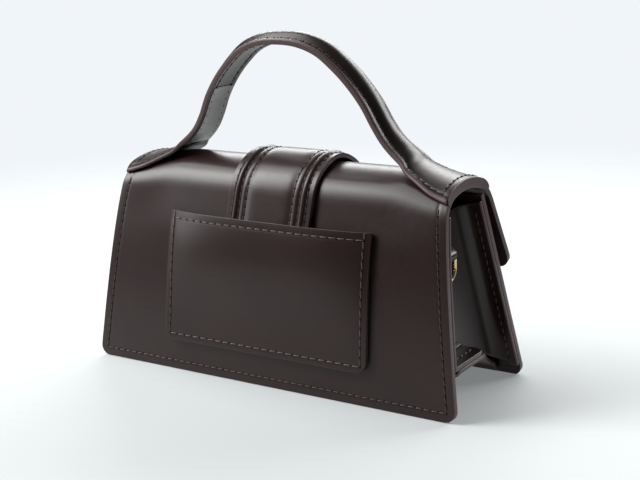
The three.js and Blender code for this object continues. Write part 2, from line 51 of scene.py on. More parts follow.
# The bag's own shape, in millimetres and degrees, as in the part's source
BAG_WIDTH = 180.0
SIDE_TAPER = 0.123
FOOT_CORNER = 5.0
FLAP_CORNER = 5.5
BAG_DEPTH = 65.8
BODY_HEIGHT = 87.6
CROWN_RISE = 4.0
CROWN_SPAN = (0.68, 1.02)
CROWN_REACH = (0.7, 1.0)
SHOULDER_DRAW = 2.0
SHOULDER_REACH = 43.0
TOP_SHIFT = 0.65
TOP_HALF_DEPTH = 12.88
TOP_SLOPE = 18.0
SHOULDER_RADIUS = 13.0
BACK_LEAN = 16.0
BACK_BELLY = 0.29
FLAP_LEAN = 21.5
FLAP_EDGE_HEIGHT = 47.3
FRONT_HEIGHT = 81.0
FRONT_TOP_GAP = 2.5
PANEL_WALL = 2.6
GUSSET_WALL = 1.8
BASE_WALL = 1.7
POCKET_WALL = 1.9
SEAM = 0.3
GUSSET_FLANGE = 4.6
GUSSET_BEND = 6.0
GUSSET_BOW = 2.1
GUSSET_TOP = (77.5, 74.0, 78.5)
FOOT_STRIP_REACH = 0.5
BASE_LIFT = 17.9
BASE_FLANGE_INSET = 8.0
FOOT_STRIP_HEIGHT = 1.0
BASE_EDGE = 0.3
BASE_FRONT_INSET = 10.5
BASE_CLEAR = 1.4
BASE_FOLD = (  # way across, share of the lift, share of the inset
    (0.0, 0.8, 0.75),
    (0.03, 0.95, 0.04),
    (0.08, 1.0, 0.0),
    (0.3, 1.0, 0.0),
    (0.47, 0.99, 0.0),
    (0.56, 0.94, 0.18),
    (0.68, 0.78, 0.5),
    (0.8, 0.56, 0.78),
    (0.91, 0.36, 0.95),
    (0.98, 0.25, 1.0),
)
POCKET_TOP_WIDTH = 99.5
POCKET_FOOT_WIDTH = 101.3
POCKET_TOP = 68.6
POCKET_FOOT = 13.7
POCKET_CORNER = 5.0
POCKET_SLACK = (0.1, 0.82)
BAND_WIDTH = 41.1
BAND_WALL = 2.2
BAND_RAISE = 0.5
BAND_LIFT = 1.3
BAND_LIFT_REACH = 22.0
BAND_TUCK = 7.5
BAND_FRONT_GAP = 4.0
BAND_CORNER = 4.0
GRIP_HEIGHT = 48.3
STRAP_HALF = 8.1
STRAP_WALL = 4.7
STRAP_HOLLOW = 0.6
STRAP_EDGE = 2.2
FOOT_WALL = 1.7
FOOT_HALF_GIRTH = 19.6
HANDLE_SWAY = 2.1
HANDLE_LEAN = 3.3
HANDLE_RUN = (  # along, lift, flare, drape
    (1.0, 0.0, 1.0, 1.0),
    (0.895, 0.0, 0.81, 1.0),
    (0.805, 0.005, 0.55, 0.96),
    (0.735, 0.022, 0.37, 0.78),
    (0.69, 0.062, 0.21, 0.4),
    (0.638, 0.115, 0.125, 0.1),
    (0.58, 0.205, 0.06, 0.01),
    (0.528, 0.33, 0.015, 0.0),
    (0.469, 0.512, 0.0, 0.0),
    (0.394, 0.678, 0.0, 0.0),
    (0.315, 0.809, 0.0, 0.0),
    (0.224, 0.923, 0.0, 0.0),
    (0.115, 0.985, 0.0, 0.0),
    (0.0, 1.0, 0.0, 0.0),
)
RING_WIRE = 0.9
RING_HALF_WIDTH = 5.0
RING_DROP = 10.6
RING_CORNER = 1.6
RING_BAR_HEIGHT = 59.0
RING_PLACE = 0.375
RING_PLAY = 0.35
LOOP_WALL = 1.3
LOOP_HALF_WIDTH = 2.8
LOOP_RISE = 9.5
LOOP_GAP = 0.6

# Sewing: how far in from an edge a row of stitches lies, and the leather's shape beside it
PANEL_SEAM = 3.7
POCKET_SEAM = 2.6
HANDLE_SEAM = 2.9
BAND_SEAMS = (2.4, 5.8, 9.0)
EDGE_STOPS = (0.0, 0.5, 1.1, 1.9, 2.7, 3.2, 3.7, 4.2, 4.8, 5.8, 7.2)
GROOVE_WIDTH = 0.45
GROOVE_DEPTH = 0.12
THREAD_OFF = 0.06  # middle of a thread above the leather's face
THREAD_REACH = 0.39  # half of a thread's length, as a share of the pitch
THREAD_SLANT = 0.16  # how far a thread's end lies off the row's middle
BACK_SEAM_TOP = 81.0  # height where the back's rows end, under the handle

# Shapes that only the dressed bag has
FOOT_STRIP_CORNER = 4.0
FOOT_STRIP_BEND = 2.0
GUSSET_FOLD = 0.55  # how deep the crease in the gusset's wall is
BAND_RIDGE = 1.0
BAND_FACE = 0.3  # how far the band's edge lies under its full wall
FOOT_SKIVE = 0.4  # how much thinner the handle's sewn feet are at their edges
EDGE_FACE_TAPER = 6.0  # where the paint on the foot's end thins out
LINING_RUN = (0.16, 0.327)  # of the handle, where a lining is sewn under it
LINING_WALL = 0.5
LINING_MARGIN = 1.3
LOOP_SEAMS = (6.4, 8.3)  # above the ring's bar
FLOOR_FADE = (0.16, 0.62)  # metres from the bag


def lerp(a, b, t):
    return a + (b - a) * t


def spaced(start, end, count):
    """Evenly spaced values, both ends included."""
    return [lerp(start, end, i / count) for i in range(count + 1)]


def smoothstep(value, low, high):
    t = min(max((value - low) / (high - low), 0.0), 1.0)
    return t * t * (3 - 2 * t)


def half_width(z):
    return BAG_WIDTH / 2 - SIDE_TAPER * z


def shell_line():
    """Back panel, top and flap seen from the end: rows of distance, y, z and outward normal."""
    slope = math.radians(TOP_SLOPE)
    dome = TOP_HALF_DEPTH / math.sin(slope)
    centre_y = TOP_HALF_DEPTH - SHOULDER_RADIUS * math.sin(slope)
    centre_z = BODY_HEIGHT - dome * (1 - math.cos(slope)) - SHOULDER_RADIUS * math.cos(slope)
    points = []

    def arc(y, z, radius, start, end, steps):
        for i in range(1, steps + 1):
            angle = math.radians(lerp(start, end, i / steps))
            points.append((y + radius * math.cos(angle), z + radius * math.sin(angle)))

    lean = math.radians(BACK_LEAN)
    top_y = TOP_SHIFT + centre_y + SHOULDER_RADIUS * math.cos(lean)
    top_z = centre_z + SHOULDER_RADIUS * math.sin(lean)
    drop = BACK_BELLY * top_z
    bend = (top_y + drop * math.tan(lean), top_z - drop)
    for i in range(61):
        t = i / 60
        weights = ((1 - t) ** 2, 2 * t * (1 - t), t * t)
        ends = ((BAG_DEPTH / 2, 0.0), bend, (top_y, top_z))
        points.append(tuple(sum(w * p[k] for w, p in zip(weights, ends)) for k in (0, 1)))
    arc(TOP_SHIFT + centre_y, centre_z, SHOULDER_RADIUS, BACK_LEAN, 90 - TOP_SLOPE, 24)
    arc(TOP_SHIFT, BODY_HEIGHT - dome, dome, 90 - TOP_SLOPE, 90 + TOP_SLOPE, 32)
    arc(TOP_SHIFT - centre_y, centre_z, SHOULDER_RADIUS, 90 + TOP_SLOPE, 180 - FLAP_LEAN, 24)
    start_y, start_z = points[-1]
    for i in range(1, 25):
        down = (start_z - FLAP_EDGE_HEIGHT) * i / 24
        points.append((start_y - down * math.tan(math.radians(FLAP_LEAN)), start_z - down))
    line = np.array(points)
    steps = np.hypot(*np.diff(line, axis=0).T)
    along = np.concatenate(([0.0], np.cumsum(steps)))
    turn = np.gradient(line, along, axis=0)
    turn /= np.hypot(turn[:, 0], turn[:, 1])[:, None]
    return np.column_stack((along, line, turn[:, 1], -turn[:, 0]))


SHELL = shell_line()
SHELL_LENGTH = SHELL[-1, 0]
CREST = int(np.argmax(SHELL[:, 2]))
CREST_ALONG = SHELL[CREST, 0]
CREST_Y = SHELL[CREST, 1]
CREST_Z = SHELL[CREST, 2]
BACK_ROWS = SHELL[: CREST + 1]
FLAP_ROWS = SHELL[CREST:][::-1]


def on_shell(s):
    """y, z and the outward normal at a distance along the leather."""
    return [float(np.interp(s, SHELL[:, 0], SHELL[:, k])) for k in (1, 2, 3, 4)]


def back_along(z):
    return float(np.interp(z, BACK_ROWS[:, 2], BACK_ROWS[:, 0]))


def back_inside(z):
    face = float(np.interp(z, BACK_ROWS[:, 2], BACK_ROWS[:, 1]))
    return face - PANEL_WALL / math.cos(math.radians(BACK_LEAN) / 2) - SEAM


def flap_inside(z):
    line = FLAP_ROWS[:, 1:3] - PANEL_WALL * FLAP_ROWS[:, 3:5]
    return float(np.interp(z, line[:, 1], line[:, 0]))


FRONT_TOP_FACE = flap_inside(FRONT_HEIGHT) + FRONT_TOP_GAP
FRONT_SLOPE = math.atan2(FRONT_TOP_FACE + BAG_DEPTH / 2, FRONT_HEIGHT)


def front_face(z):
    return lerp(-BAG_DEPTH / 2, FRONT_TOP_FACE, z / FRONT_HEIGHT)


def front_inside(z):
    return front_face(z) + PANEL_WALL / math.cos(FRONT_SLOPE) + SEAM


def raised(x):
    half = half_width(BODY_HEIGHT)
    return 1 - smoothstep(abs(x), CROWN_SPAN[0] * half, CROWN_SPAN[1] * half)


def crown(x, z):
    return CROWN_RISE * raised(x) * smoothstep(z / BODY_HEIGHT, *CROWN_REACH)


def drawn_in(s, x):
    """How much the shoulders are drawn in."""
    share = min(abs(s - CREST_ALONG) / SHOULDER_REACH, 1.0)
    return SHOULDER_DRAW * raised(x) * math.sin(share * math.pi) ** 2


def off_shell(s, x, off):
    """A point that stands off the shell's outer face."""
    y, z, ny, nz = on_shell(s)
    off -= drawn_in(s, x)
    return (x, y + off * ny, z + off * nz + crown(x, z))


def corner_inset(distance, radius):
    """How far a rounded outline has drawn in at a distance from its edge."""
    if distance >= radius:
        return 0.0
    return radius - math.sqrt(radius**2 - (radius - distance) ** 2)


def groove(distance, seam, width=GROOVE_WIDTH):
    """1 on a line of stitches, 0 away from it."""
    return math.exp(-(((distance - seam) / width) ** 2))


def graded(length, step):
    """Distances along a side, close together beside the stitches."""
    near, far = EDGE_STOPS[-1], length - EDGE_STOPS[-1]
    count = max(int(round((far - near) / step)), 1)
    tail = [length - d for d in reversed(EDGE_STOPS[:-1])]
    return list(EDGE_STOPS[:-1]) + spaced(near, far, count) + tail


def column_places(count):
    """Columns of a panel: some at set distances from its two edges, the rest spread between."""
    left = [(-1, d) for d in EDGE_STOPS[:-1]]
    middle = [(0, share) for share in spaced(-1, 1, count)]
    return left + middle + [(1, d) for d in reversed(EDGE_STOPS[:-1])]


def column_x(column, half):
    side, value = column
    if side:
        return side * (half - value)
    return value * (half - EDGE_STOPS[-1])


# Meshes -------------------------------------------------------------------------------------


def deselect():
    if bpy.context.object and bpy.context.object.mode != "OBJECT":
        bpy.ops.object.mode_set(mode="OBJECT")
    bpy.ops.object.select_all(action="DESELECT")


def pick(obj):
    deselect()
    obj.select_set(True)
    bpy.context.view_layer.objects.active = obj


def modify(obj, kind, **values):
    """Adds a modifier and applies it."""
    pick(obj)
    bpy.ops.object.modifier_add(type=kind)
    modifier = obj.modifiers[-1]
    for key, value in values.items():
        setattr(modifier, key, value)
    bpy.ops.object.modifier_apply(modifier=modifier.name)


def grid(name, columns, rows, place):
    """A flat grid whose points are laid where place(column, row) says, in millimetres."""
    deselect()
    bpy.ops.mesh.primitive_grid_add(
        x_subdivisions=len(columns) - 1, y_subdivisions=len(rows) - 1, size=1
    )
    obj = bpy.context.object
    obj.name = name
    mesh = obj.data
    mesh.name = name
    flat = np.zeros(len(mesh.vertices) * 3)
    mesh.vertices.foreach_get("co", flat)
    flat = flat.reshape(-1, 3)
    across = np.rint((flat[:, 0] + 0.5) * (len(columns) - 1)).astype(int)
    up = np.rint((flat[:, 1] + 0.5) * (len(rows) - 1)).astype(int)
    laid = np.array([place(columns[i], rows[j]) for i, j in zip(across, up)])
    mesh.vertices.foreach_set("co", (laid * MM).ravel())
    mesh.update()
    return obj


def edit(obj, *steps):
    """Runs operators on the whole of a mesh, each with its values."""
    pick(obj)
    bpy.ops.object.mode_set(mode="EDIT")
    bpy.ops.mesh.select_all(action="SELECT")
    for step, values in steps:
        step(**values)
    bpy.ops.object.mode_set(mode="OBJECT")


def face_out(obj, heart):
    """Turns an open sheet so that it faces away from a point inside the bag."""
    mesh = obj.data
    middle = Vector(heart) * MM
    facing = sum(face.normal.dot(face.center - middle) * face.area for face in mesh.polygons)
    if facing < 0:
        edit(obj, (bpy.ops.mesh.flip_normals, {}))


def smooth(obj, degrees=42):
    pick(obj)
    bpy.ops.object.shade_smooth_by_angle(angle=math.radians(degrees))


def leather_sheet(name, columns, rows, place, wall, looks, heart=(0, 0, 40), rounding=0.6, side=-1):
    """A sheet of leather with a wall, a painted rim and rounded edges."""
    obj = grid(name, columns, rows, place)
    face_out(obj, heart)
    for look in looks:
        obj.data.materials.append(look)
    modify(
        obj,
        "SOLIDIFY",
        thickness=wall * MM,
        offset=side,
        use_even_offset=True,
        material_offset_rim=1,
    )
    modify(
        obj,
        "BEVEL",
        width=rounding * MM,
        segments=4,
        limit_method="ANGLE",
        angle_limit=math.radians(55),
        material=1,
    )
    flat = np.zeros(len(obj.data.vertices) * 3)
    obj.data.vertices.foreach_get("co", flat)
    flat[2::3] = np.maximum(flat[2::3], 0.0)
    obj.data.vertices.foreach_set("co", flat)
    smooth(obj)
    return obj


def settle(obj, slot, *nodes, body="bag"):
    """Hands a finished piece to the frame, in place of the nodes named."""
    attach(obj, body)
    if nodes:
        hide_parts(*nodes)
    return obj


def join(name, objects):
    pick(objects[0])
    for obj in objects[1:]:
        obj.select_set(True)
    if len(objects) > 1:
        bpy.ops.object.join()
    whole = bpy.context.object
    whole.name = name
    whole.data.name = name
    return whole


def path_curve(points, closed=False):
    """A curve of straight pieces through points in millimetres."""
    deselect()
    bpy.ops.curve.primitive_nurbs_path_add(enter_editmode=False)
    obj = bpy.context.object
    curve = obj.data
    curve.splines.clear()
    line = curve.splines.new("POLY")
    line.points.add(len(points) - 1)
    line.points.foreach_set("co", [c for p in points for c in (p[0] * MM, p[1] * MM, p[2] * MM, 1)])
    line.use_cyclic_u = closed
    return obj


def stitch_row(points, pitch, look="thread"):
    """Threads with a near-black dot at each needle hole, painted shade of the hole; one stitch
    repeated along a line.
    """
    sewing = bpy.context.scene.handbag_sewing
    length = sum(math.dist(a, b) for a, b in zip(points, points[1:]))
    count = max(int(round(length / pitch)), 1)
    pitch = length / count
    radius = sewing.thread * 0.5
    guide = path_curve(points)
    deselect()
    bpy.ops.mesh.primitive_uv_sphere_add(segments=8, ring_count=6, radius=0.5)
    thread = bpy.context.object
    # a capsule that lies slanted along the row and narrows at its ends
    for vertex in thread.data.vertices:
        x, y, z = vertex.co * 2
        reach = math.copysign(abs(x) ** 0.6, x) if x else 0.0
        plump = radius * math.sqrt(max(1 - abs(reach) ** 3.2, 0.0))
        girth = math.hypot(y, z)
        turn = (y / girth, z / girth) if girth > 1e-6 else (0.0, 0.0)
        vertex.co = (
            (0.5 + THREAD_REACH * reach) * pitch * MM,
            (turn[0] * plump + THREAD_SLANT * reach) * MM,
            turn[1] * plump * MM,
        )
    thread.data.materials.append(material(look))
    deselect()
    # a near-black sphere at each stitch's end: painted shade of the needle hole, not a real hole
    bpy.ops.mesh.primitive_uv_sphere_add(segments=8, ring_count=4, radius=sewing.hole * 0.5 * MM)
    hole = bpy.context.object
    hole.data.materials.append(material("needle_hole_painted_shade"))
    row = join("stitch", [thread, hole])
    modify(
        row,
        "ARRAY",
        count=count,
        use_relative_offset=False,
        use_constant_offset=True,
        constant_offset_displace=(pitch * MM, 0, 0),
    )
    modify(row, "CURVE", object=guide, deform_axis="POS_X")
    bpy.data.objects.remove(guide)
    pick(row)
    bpy.ops.object.shade_smooth()
    return row


def sew(name, rows, pitch, slot="body_leather", look="thread"):
    """All the stitch rows of one piece."""
    settle(join(name, [stitch_row(points, pitch, look) for points in rows]), slot)


# Materials ----------------------------------------------------------------------------------


def feed(node, **values):
    """Sets a node's values. Those named in_ are inputs, which another node's output may feed."""
    for key, value in values.items():
        name = key[3:].replace("_", " ")
        if not key.startswith("in_"):
            setattr(node, key, value)
        elif isinstance(value, bpy.types.NodeSocket):
            node.id_data.links.new(value, node.inputs[int(name) if name.isdigit() else name])
        else:
            node.inputs[int(name) if name.isdigit() else name].default_value = value
    return node


def add(tree, kind, **values):
    return feed(tree.nodes.new(kind), **values)


def noise(tree, scale, detail, **values):
    """Noise laid on the piece itself, as a mask."""
    place = add(tree, "ShaderNodeTexCoord").outputs["Object"]
    values.update(in_Vector=place, in_Scale=scale, in_Detail=detail)
    return add(tree, "ShaderNodeTexNoise", **values).outputs["Fac"]


def sums(tree, operation, *values):
    """The result of a piece of arithmetic."""
    inputs = {"in_%d" % i: value for i, value in enumerate(values)}
    return add(tree, "ShaderNodeMath", operation=operation, **inputs).outputs[0]


def spread(tree, mask, low, high, **values):
    """A mask laid out between two values."""
    values.update(in_Value=mask, in_To_Min=low, in_To_Max=high)
    return add(tree, "ShaderNodeMapRange", **values).outputs["Result"]


def tone(tree, mask, dark, light):
    """A colour that swings between two with a mask."""
    dark, light = (*dark, 1), (*light, 1)
    mix = add(tree, "ShaderNodeMix", data_type="RGBA", in_Factor=mask, in_A=dark, in_B=light)
    return mix.outputs["Result"]


def bump(tree, height, strength, depth):
    """Relief from a height, its depth in millimetres."""
    values = {"in_Height": height, "in_Strength": strength, "in_Distance": depth * MM}
    return add(tree, "ShaderNodeBump", **values).outputs["Normal"]


def calf_group():
    """Fine pores, soft mottling and faint wrinkles of smooth calf leather."""
    name = "calf_grain"
    if name in bpy.data.node_groups:
        return bpy.data.node_groups[name]
    tree = bpy.data.node_groups.new(name, "ShaderNodeTree")
    for name, way, default in (
        ("Colour", "INPUT", (0.03, 0.02, 0.02, 1)),
        ("Pore Scale", "INPUT", 2200.0),
        ("Mottle", "INPUT", 0.25),
        ("Roughness", "INPUT", 0.36),
        ("Colour", "OUTPUT", None),
        ("Roughness", "OUTPUT", None),
        ("Height", "OUTPUT", None),
    ):
        kind = "NodeSocketColor" if name == "Colour" else "NodeSocketFloat"
        socket = tree.interface.new_socket(name=name, in_out=way, socket_type=kind)
        if default is not None:
            socket.default_value = default
    given = add(tree, "NodeGroupInput").outputs
    pores = add(
        tree,
        "ShaderNodeTexVoronoi",
        feature="SMOOTH_F1",
        in_Vector=add(tree, "ShaderNodeTexCoord").outputs["Object"],
        in_Scale=given["Pore Scale"],
        in_Smoothness=0.7,
    )
    wrinkles = noise(tree, 420.0, 4.0, in_Roughness=0.6)
    clouds = noise(tree, 38.0, 3.0, in_Roughness=0.5)
    low = sums(tree, "SUBTRACT", 1.0, given["Mottle"])
    high = sums(tree, "ADD", 1.0, given["Mottle"])
    swing = spread(tree, clouds, low, high, in_From_Min=0.3, in_From_Max=0.7)
    tint = add(
        tree, "ShaderNodeVectorMath", operation="SCALE", in_0=given["Colour"], in_Scale=swing
    )
    add(
        tree,
        "NodeGroupOutput",
        in_Colour=tint.outputs[0],
        in_Roughness=sums(tree, "ADD", given["Roughness"], spread(tree, wrinkles, -0.05, 0.05)),
        in_Height=sums(tree, "MULTIPLY_ADD", pores.outputs["Distance"], 0.5, wrinkles),
    )
    return tree


def new_material(name):
    """A new material, its node tree and its shader."""
    look = bpy.data.materials.new(name)
    look.use_nodes = True
    tree = look.node_tree
    tree.nodes.clear()
    shader = add(tree, "ShaderNodeBsdfPrincipled")
    add(tree, "ShaderNodeOutputMaterial", in_Surface=shader.outputs["BSDF"])
    return look, tree, shader


def calf_material(name, colour, roughness, pores=2200.0, mottle=0.12, depth=0.012):
    """Finished calf: the grain group drives colour, roughness and bump."""
    look, tree, shader = new_material(name)
    grain = add(
        tree,
        "ShaderNodeGroup",
        node_tree=calf_group(),
        in_Colour=(*colour, 1),
        in_Pore_Scale=pores,
        in_Mottle=mottle,
        in_Roughness=roughness,
    ).outputs
    feed(
        shader,
        in_Base_Color=grain["Colour"],
        in_Roughness=grain["Roughness"],
        in_Specular_IOR_Level=0.4,
        in_Normal=bump(tree, grain["Height"], 1.0, depth),
    )
    return look


def thread_material(name, colour, roughness):
    """Twisted polyester thread."""
    look, tree, shader = new_material(name)
    twist = noise(tree, 3000.0, 2.0)
    dark, light = [c * 0.7 for c in colour], [min(c * 1.4, 1) for c in colour]
    feed(
        shader,
        in_Base_Color=tone(tree, twist, dark, light),
        in_Roughness=roughness,
        in_Normal=bump(tree, twist, 0.6, 0.05),
    )
    return look


def gold_material(name, colour, roughness):
    """Polished plating with faint handling marks."""
    look, tree, shader = new_material(name)
    marks = noise(tree, 900.0, 5.0)
    feed(
        shader,
        in_Base_Color=tone(tree, marks, [c * 0.92 for c in colour], colour),
        in_Roughness=spread(tree, marks, roughness * 0.7, roughness * 1.5),
        in_Metallic=1.0,
    )
    return look


def floor_material(name, colour):
    """Pale paper that fades into the backdrop, by its distance from the bag."""
    look, tree, shader = new_material(name)
    paper = tone(tree, noise(tree, 3.0, 2.0), [c * 0.985 for c in colour], colour)
    place = add(tree, "ShaderNodeTexCoord").outputs["Object"]
    distance = add(tree, "ShaderNodeVectorMath", operation="LENGTH", in_0=place).outputs["Value"]
    near, far = FLOOR_FADE
    shape = {"interpolation_type": "SMOOTHSTEP", "in_From_Min": near, "in_From_Max": far}
    feed(
        shader,
        in_Base_Color=paper,
        in_Emission_Color=paper,
        in_Emission_Strength=0.38,
        in_Roughness=0.6,
        in_Specular_IOR_Level=0.2,
        in_Alpha=spread(tree, distance, 1.0, 0.0, **shape),
    )
    return look


def material(name):
    """The named material, made once with the colours of the settings."""
    if name in bpy.data.materials:
        return bpy.data.materials[name]
    leather = bpy.context.scene.handbag_leather
    stage = bpy.context.scene.handbag_stage
    shine = leather.roughness
    makers = {
        "calf": lambda: calf_material(name, leather.body_colour, shine),
        "handle_calf": lambda: calf_material(name, leather.handle_colour, shine + 0.02),
        # pale grey lining: painted reflection of the bright floor under the handle
        "inner_calf": lambda: calf_material(name, leather.lining_colour, 0.24, depth=0.006),
        "edge_paint": lambda: calf_material(name, leather.edge_colour, 0.42, 900.0, 0.08, 0.02),
        "thread": lambda: thread_material(name, leather.thread_colour, 0.45),
        "pale_thread": lambda: thread_material(name, leather.pale_thread_colour, 0.5),
        # near-black: painted shade of the needle holes beside the threads
        "needle_hole_painted_shade": lambda: thread_material(name, (0.004, 0.003, 0.003), 0.8),
        "gold": lambda: gold_material(name, leather.gold_colour, 0.18),
        "floor": lambda: floor_material(name, stage.floor_colour),
    }
    return makers[name]()


def calf_looks(face="calf"):
    """A sheet's leather, and the paint on its edges."""
    return [material(face), material("edge_paint")]


# Settings -----------------------------------------------------------------------------------


def swatch(name, description, default):
    """A colour in the panel."""
    return bpy.props.FloatVectorProperty(
        name=name,
        description=description,
        subtype="COLOR",
        size=3,
        min=0.0,
        max=1.0,
        default=default,
    )


def number(name, description, low, high, default, subtype="NONE"):
    """A number in the panel."""
    return bpy.props.FloatProperty(
        name=name, description=description, min=low, max=high, default=default, subtype=subtype
    )


class HandbagLeather(bpy.types.PropertyGroup):
    """Colours and finish of the leather, thread and metal"""

    body_colour: swatch("Leather", "Colour of the bag's leather", (0.0205, 0.0085, 0.0078))
    handle_colour: swatch("Handle", "Colour of the handle's leather", (0.02, 0.0115, 0.011))
    # Partly painted reflection: the lining piece is real, but its pale grey tone stands in for the
    # bright floor mirrored in the handle's underside.
    lining_colour: swatch(
        "Handle lining", "Colour of the smooth leather under the handle", (0.16, 0.152, 0.152)
    )
    edge_colour: swatch("Edge paint", "Colour of the painted edges", (0.092, 0.058, 0.06))
    thread_colour: swatch("Thread", "Colour of the stitches", (0.06, 0.042, 0.038))
    pale_thread_colour: swatch(
        "Pocket thread", "Colour of the pocket's stitches", (0.095, 0.072, 0.062)
    )
    gold_colour: swatch("Gold", "Colour of the metal rings", (0.86, 0.68, 0.4))
    roughness: number("Roughness", "How soft the leather's shine is", 0.05, 1.0, 0.33, "FACTOR")


class HandbagSewing(bpy.types.PropertyGroup):
    """Sizes of the stitches, in millimetres"""

    panel_pitch: number("Panel stitch", "Length of one stitch on the panels", 1.0, 10.0, 3.45)
    fine_pitch: number(
        "Fine stitch", "Length of one stitch on the handle, band and pocket", 1.0, 10.0, 3.5
    )
    thread: number("Thread", "Thickness of the thread", 0.1, 2.0, 0.52)
    hole: number("Needle hole", "Width of a needle hole", 0.1, 2.0, 0.9)


class HandbagStage(bpy.types.PropertyGroup):
    """Floor, light and camera"""

    floor_colour: swatch("Floor", "Colour of the floor", (0.5, 0.525, 0.525))
    backdrop_colour: swatch(
        "Backdrop", "Colour of the backdrop that the camera sees", (0.879, 0.913, 0.947)
    )
    world_strength: number(
        "Room light", "Strength of the even light from all round", 0.0, 5.0, 0.06
    )
    lens: number("Lens", "Focal length of the camera, in millimetres", 10.0, 300.0, 70.82)


# Operators ----------------------------------------------------------------------------------


def edge_face(name, side):
    """Paint that seals the handle's foot and the leather under it into one edge."""
    reach = FOOT_HALF_GIRTH - 0.4
    outer = SEAM + FOOT_WALL

    def place(u, lateral):
        s = CREST_ALONG - lateral
        taper = min((reach - abs(lateral)) / EDGE_FACE_TAPER, 1.0)
        top = lerp(SEAM, outer - 0.25, math.sqrt(max(1 - (1 - taper) ** 2, 0.0)))
        off = lerp(0.5 - PANEL_WALL, top, u)
        x = side * (half_width(on_shell(s)[1]) + 0.1)
        return off_shell(s, x, off)

    paint = leather_sheet(
        "edge_face_" + name,
        spaced(0, 1, 8),
        spaced(-reach, reach, 60),
        place,
        0.3,
        calf_looks("edge_paint"),
        rounding=0.12,
        side=0,
    )
    settle(paint, "body_leather")


class HANDBAG_OT_back_and_flap(bpy.types.Operator):
    """Back panel, top and front flap, cut as one sheet"""

    bl_idname = "handbag.back_and_flap"
    bl_label = "Back and flap"

    def execute(self, context):
        rows = graded(SHELL_LENGTH, 1.7)

        def inset(s):
            return corner_inset(s, FOOT_CORNER) + corner_inset(SHELL_LENGTH - s, FLAP_CORNER)

        def place(column, s):
            half = half_width(on_shell(s)[1]) - inset(s)
            x = column_x(column, half)
            edge = min(half - abs(x), s, SHELL_LENGTH - s)
            x, y, z = off_shell(s, x, -GROOVE_DEPTH * groove(edge, PANEL_SEAM))
            return (x, y, max(z, 0.0) if s else 0.0)

        shell = leather_sheet(
            "shell_leather", column_places(56), rows, place, PANEL_WALL, calf_looks()
        )
        settle(shell, "body_leather", "back_and_flap")

        def seam_half(s):
            return half_width(on_shell(s)[1]) - PANEL_SEAM

        def side_line(side, start, end):
            return [off_shell(s, side * seam_half(s), THREAD_OFF) for s in spaced(start, end, 90)]

        def cross_line(s):
            half = seam_half(s)
            return [off_shell(s, x, THREAD_OFF) for x in spaced(-half, half, 40)]

        for name, side in (("left", -1), ("right", 1)):
            edge_face(name, side)
        back_top = back_along(BACK_SEAM_TOP)
        flap_top = SHELL_LENGTH - (back_top - back_along(FLAP_EDGE_HEIGHT)) * 0.95
        rows = []
        for foot, top in ((PANEL_SEAM, back_top), (SHELL_LENGTH - PANEL_SEAM, flap_top)):
            start, end = sorted((foot, top))
            rows += [side_line(-1, start, end), cross_line(foot), side_line(1, start, end)]
        sew("shell_stitches", rows, context.scene.handbag_sewing.panel_pitch)
        return {"FINISHED"}


class HANDBAG_OT_front_panel(bpy.types.Operator):
    """Flat panel under the flap"""

    bl_idname = "handbag.front_panel"
    bl_label = "Front panel"

    def execute(self, context):
        length = FRONT_HEIGHT / math.cos(FRONT_SLOPE)
        tilt = (math.cos(FRONT_SLOPE), math.sin(FRONT_SLOPE))

        def place(column, s):
            z = s * tilt[0]
            half = half_width(z) - corner_inset(s, FOOT_CORNER)
            x = column_x(column, half)
            dip = GROOVE_DEPTH * groove(min(half - abs(x), s), PANEL_SEAM)
            return (x, front_face(z) + dip, z)

        panel = leather_sheet(
            "front_leather", column_places(40), graded(length, 2.4), place, PANEL_WALL, calf_looks()
        )
        settle(panel, "body_leather", "front_panel")

        def line(start, end):
            points = []
            for i in range(61):
                x, s = (lerp(a, b, i / 60) for a, b in zip(start, end))
                z = s * tilt[0]
                if x:
                    x = math.copysign(half_width(z) - PANEL_SEAM, x) if start[0] == end[0] else x
                points.append((x, front_face(z) - THREAD_OFF, z))
            return points

        foot = half_width(PANEL_SEAM) - PANEL_SEAM
        top = length - 4
        rows = [
            line((-1, PANEL_SEAM), (-1, top)),
            line((-foot, PANEL_SEAM), (foot, PANEL_SEAM)),
            line((1, PANEL_SEAM), (1, top)),
        ]
        sew("front_stitches", rows, context.scene.handbag_sewing.panel_pitch)
        return {"FINISHED"}


def web_line():
    """The base's middle line from back to front, with its bends rounded."""
    back = back_inside(BASE_LIFT) - BASE_WALL / 2
    points = []
    foot = FOOT_STRIP_HEIGHT
    first = BASE_FOLD[0][1] * BASE_LIFT
    for z in (foot, (foot + first) / 2):
        points.append((back_inside(z) - BASE_WALL / 2, z, BASE_FLANGE_INSET))
    for across, up, inset in BASE_FOLD:
        z = up * BASE_LIFT
        y = lerp(back, front_inside(z) + BASE_WALL / 2, across)
        points.append((y, z, lerp(BASE_EDGE, BASE_FRONT_INSET, inset)))
    points.append((front_inside(foot) + BASE_WALL / 2, foot, BASE_FRONT_INSET))
    line = np.array(points)
    along = np.concatenate(([0.0], np.cumsum(np.hypot(*np.diff(line[:, :2], axis=0).T))))
    fine = np.linspace(0, along[-1], 121)
    dense = np.column_stack([np.interp(fine, along, line[:, k]) for k in range(3)])
    for _ in range(3):
        dense[1:-1] = (dense[:-2] + 2 * dense[1:-1] + dense[2:]) / 4
    return dense


def web_height(y):
    line = web_line()[::-1]
    middle = line[(line[:, 1] > FOOT_STRIP_HEIGHT + 3)]
    return float(np.interp(y, middle[:, 0], middle[:, 1]))


class HANDBAG_OT_base(bpy.types.Operator):
    """Raised base between the two panels"""

    bl_idname = "handbag.base"
    bl_label = "Base"

    def execute(self, context):
        line = web_line()

        def place(u, row):
            y, z, inset = line[row]
            return (u * (half_width(z) - inset), y, z)

        base = leather_sheet(
            "base_leather",
            list(np.linspace(-1, 1, 31)),
            list(range(len(line))),
            place,
            BASE_WALL,
            calf_looks(),
            heart=(0, 0, 60),
            rounding=0.5,
            side=0,
        )
        settle(base, "body_leather", "base_panel")
        return {"FINISHED"}


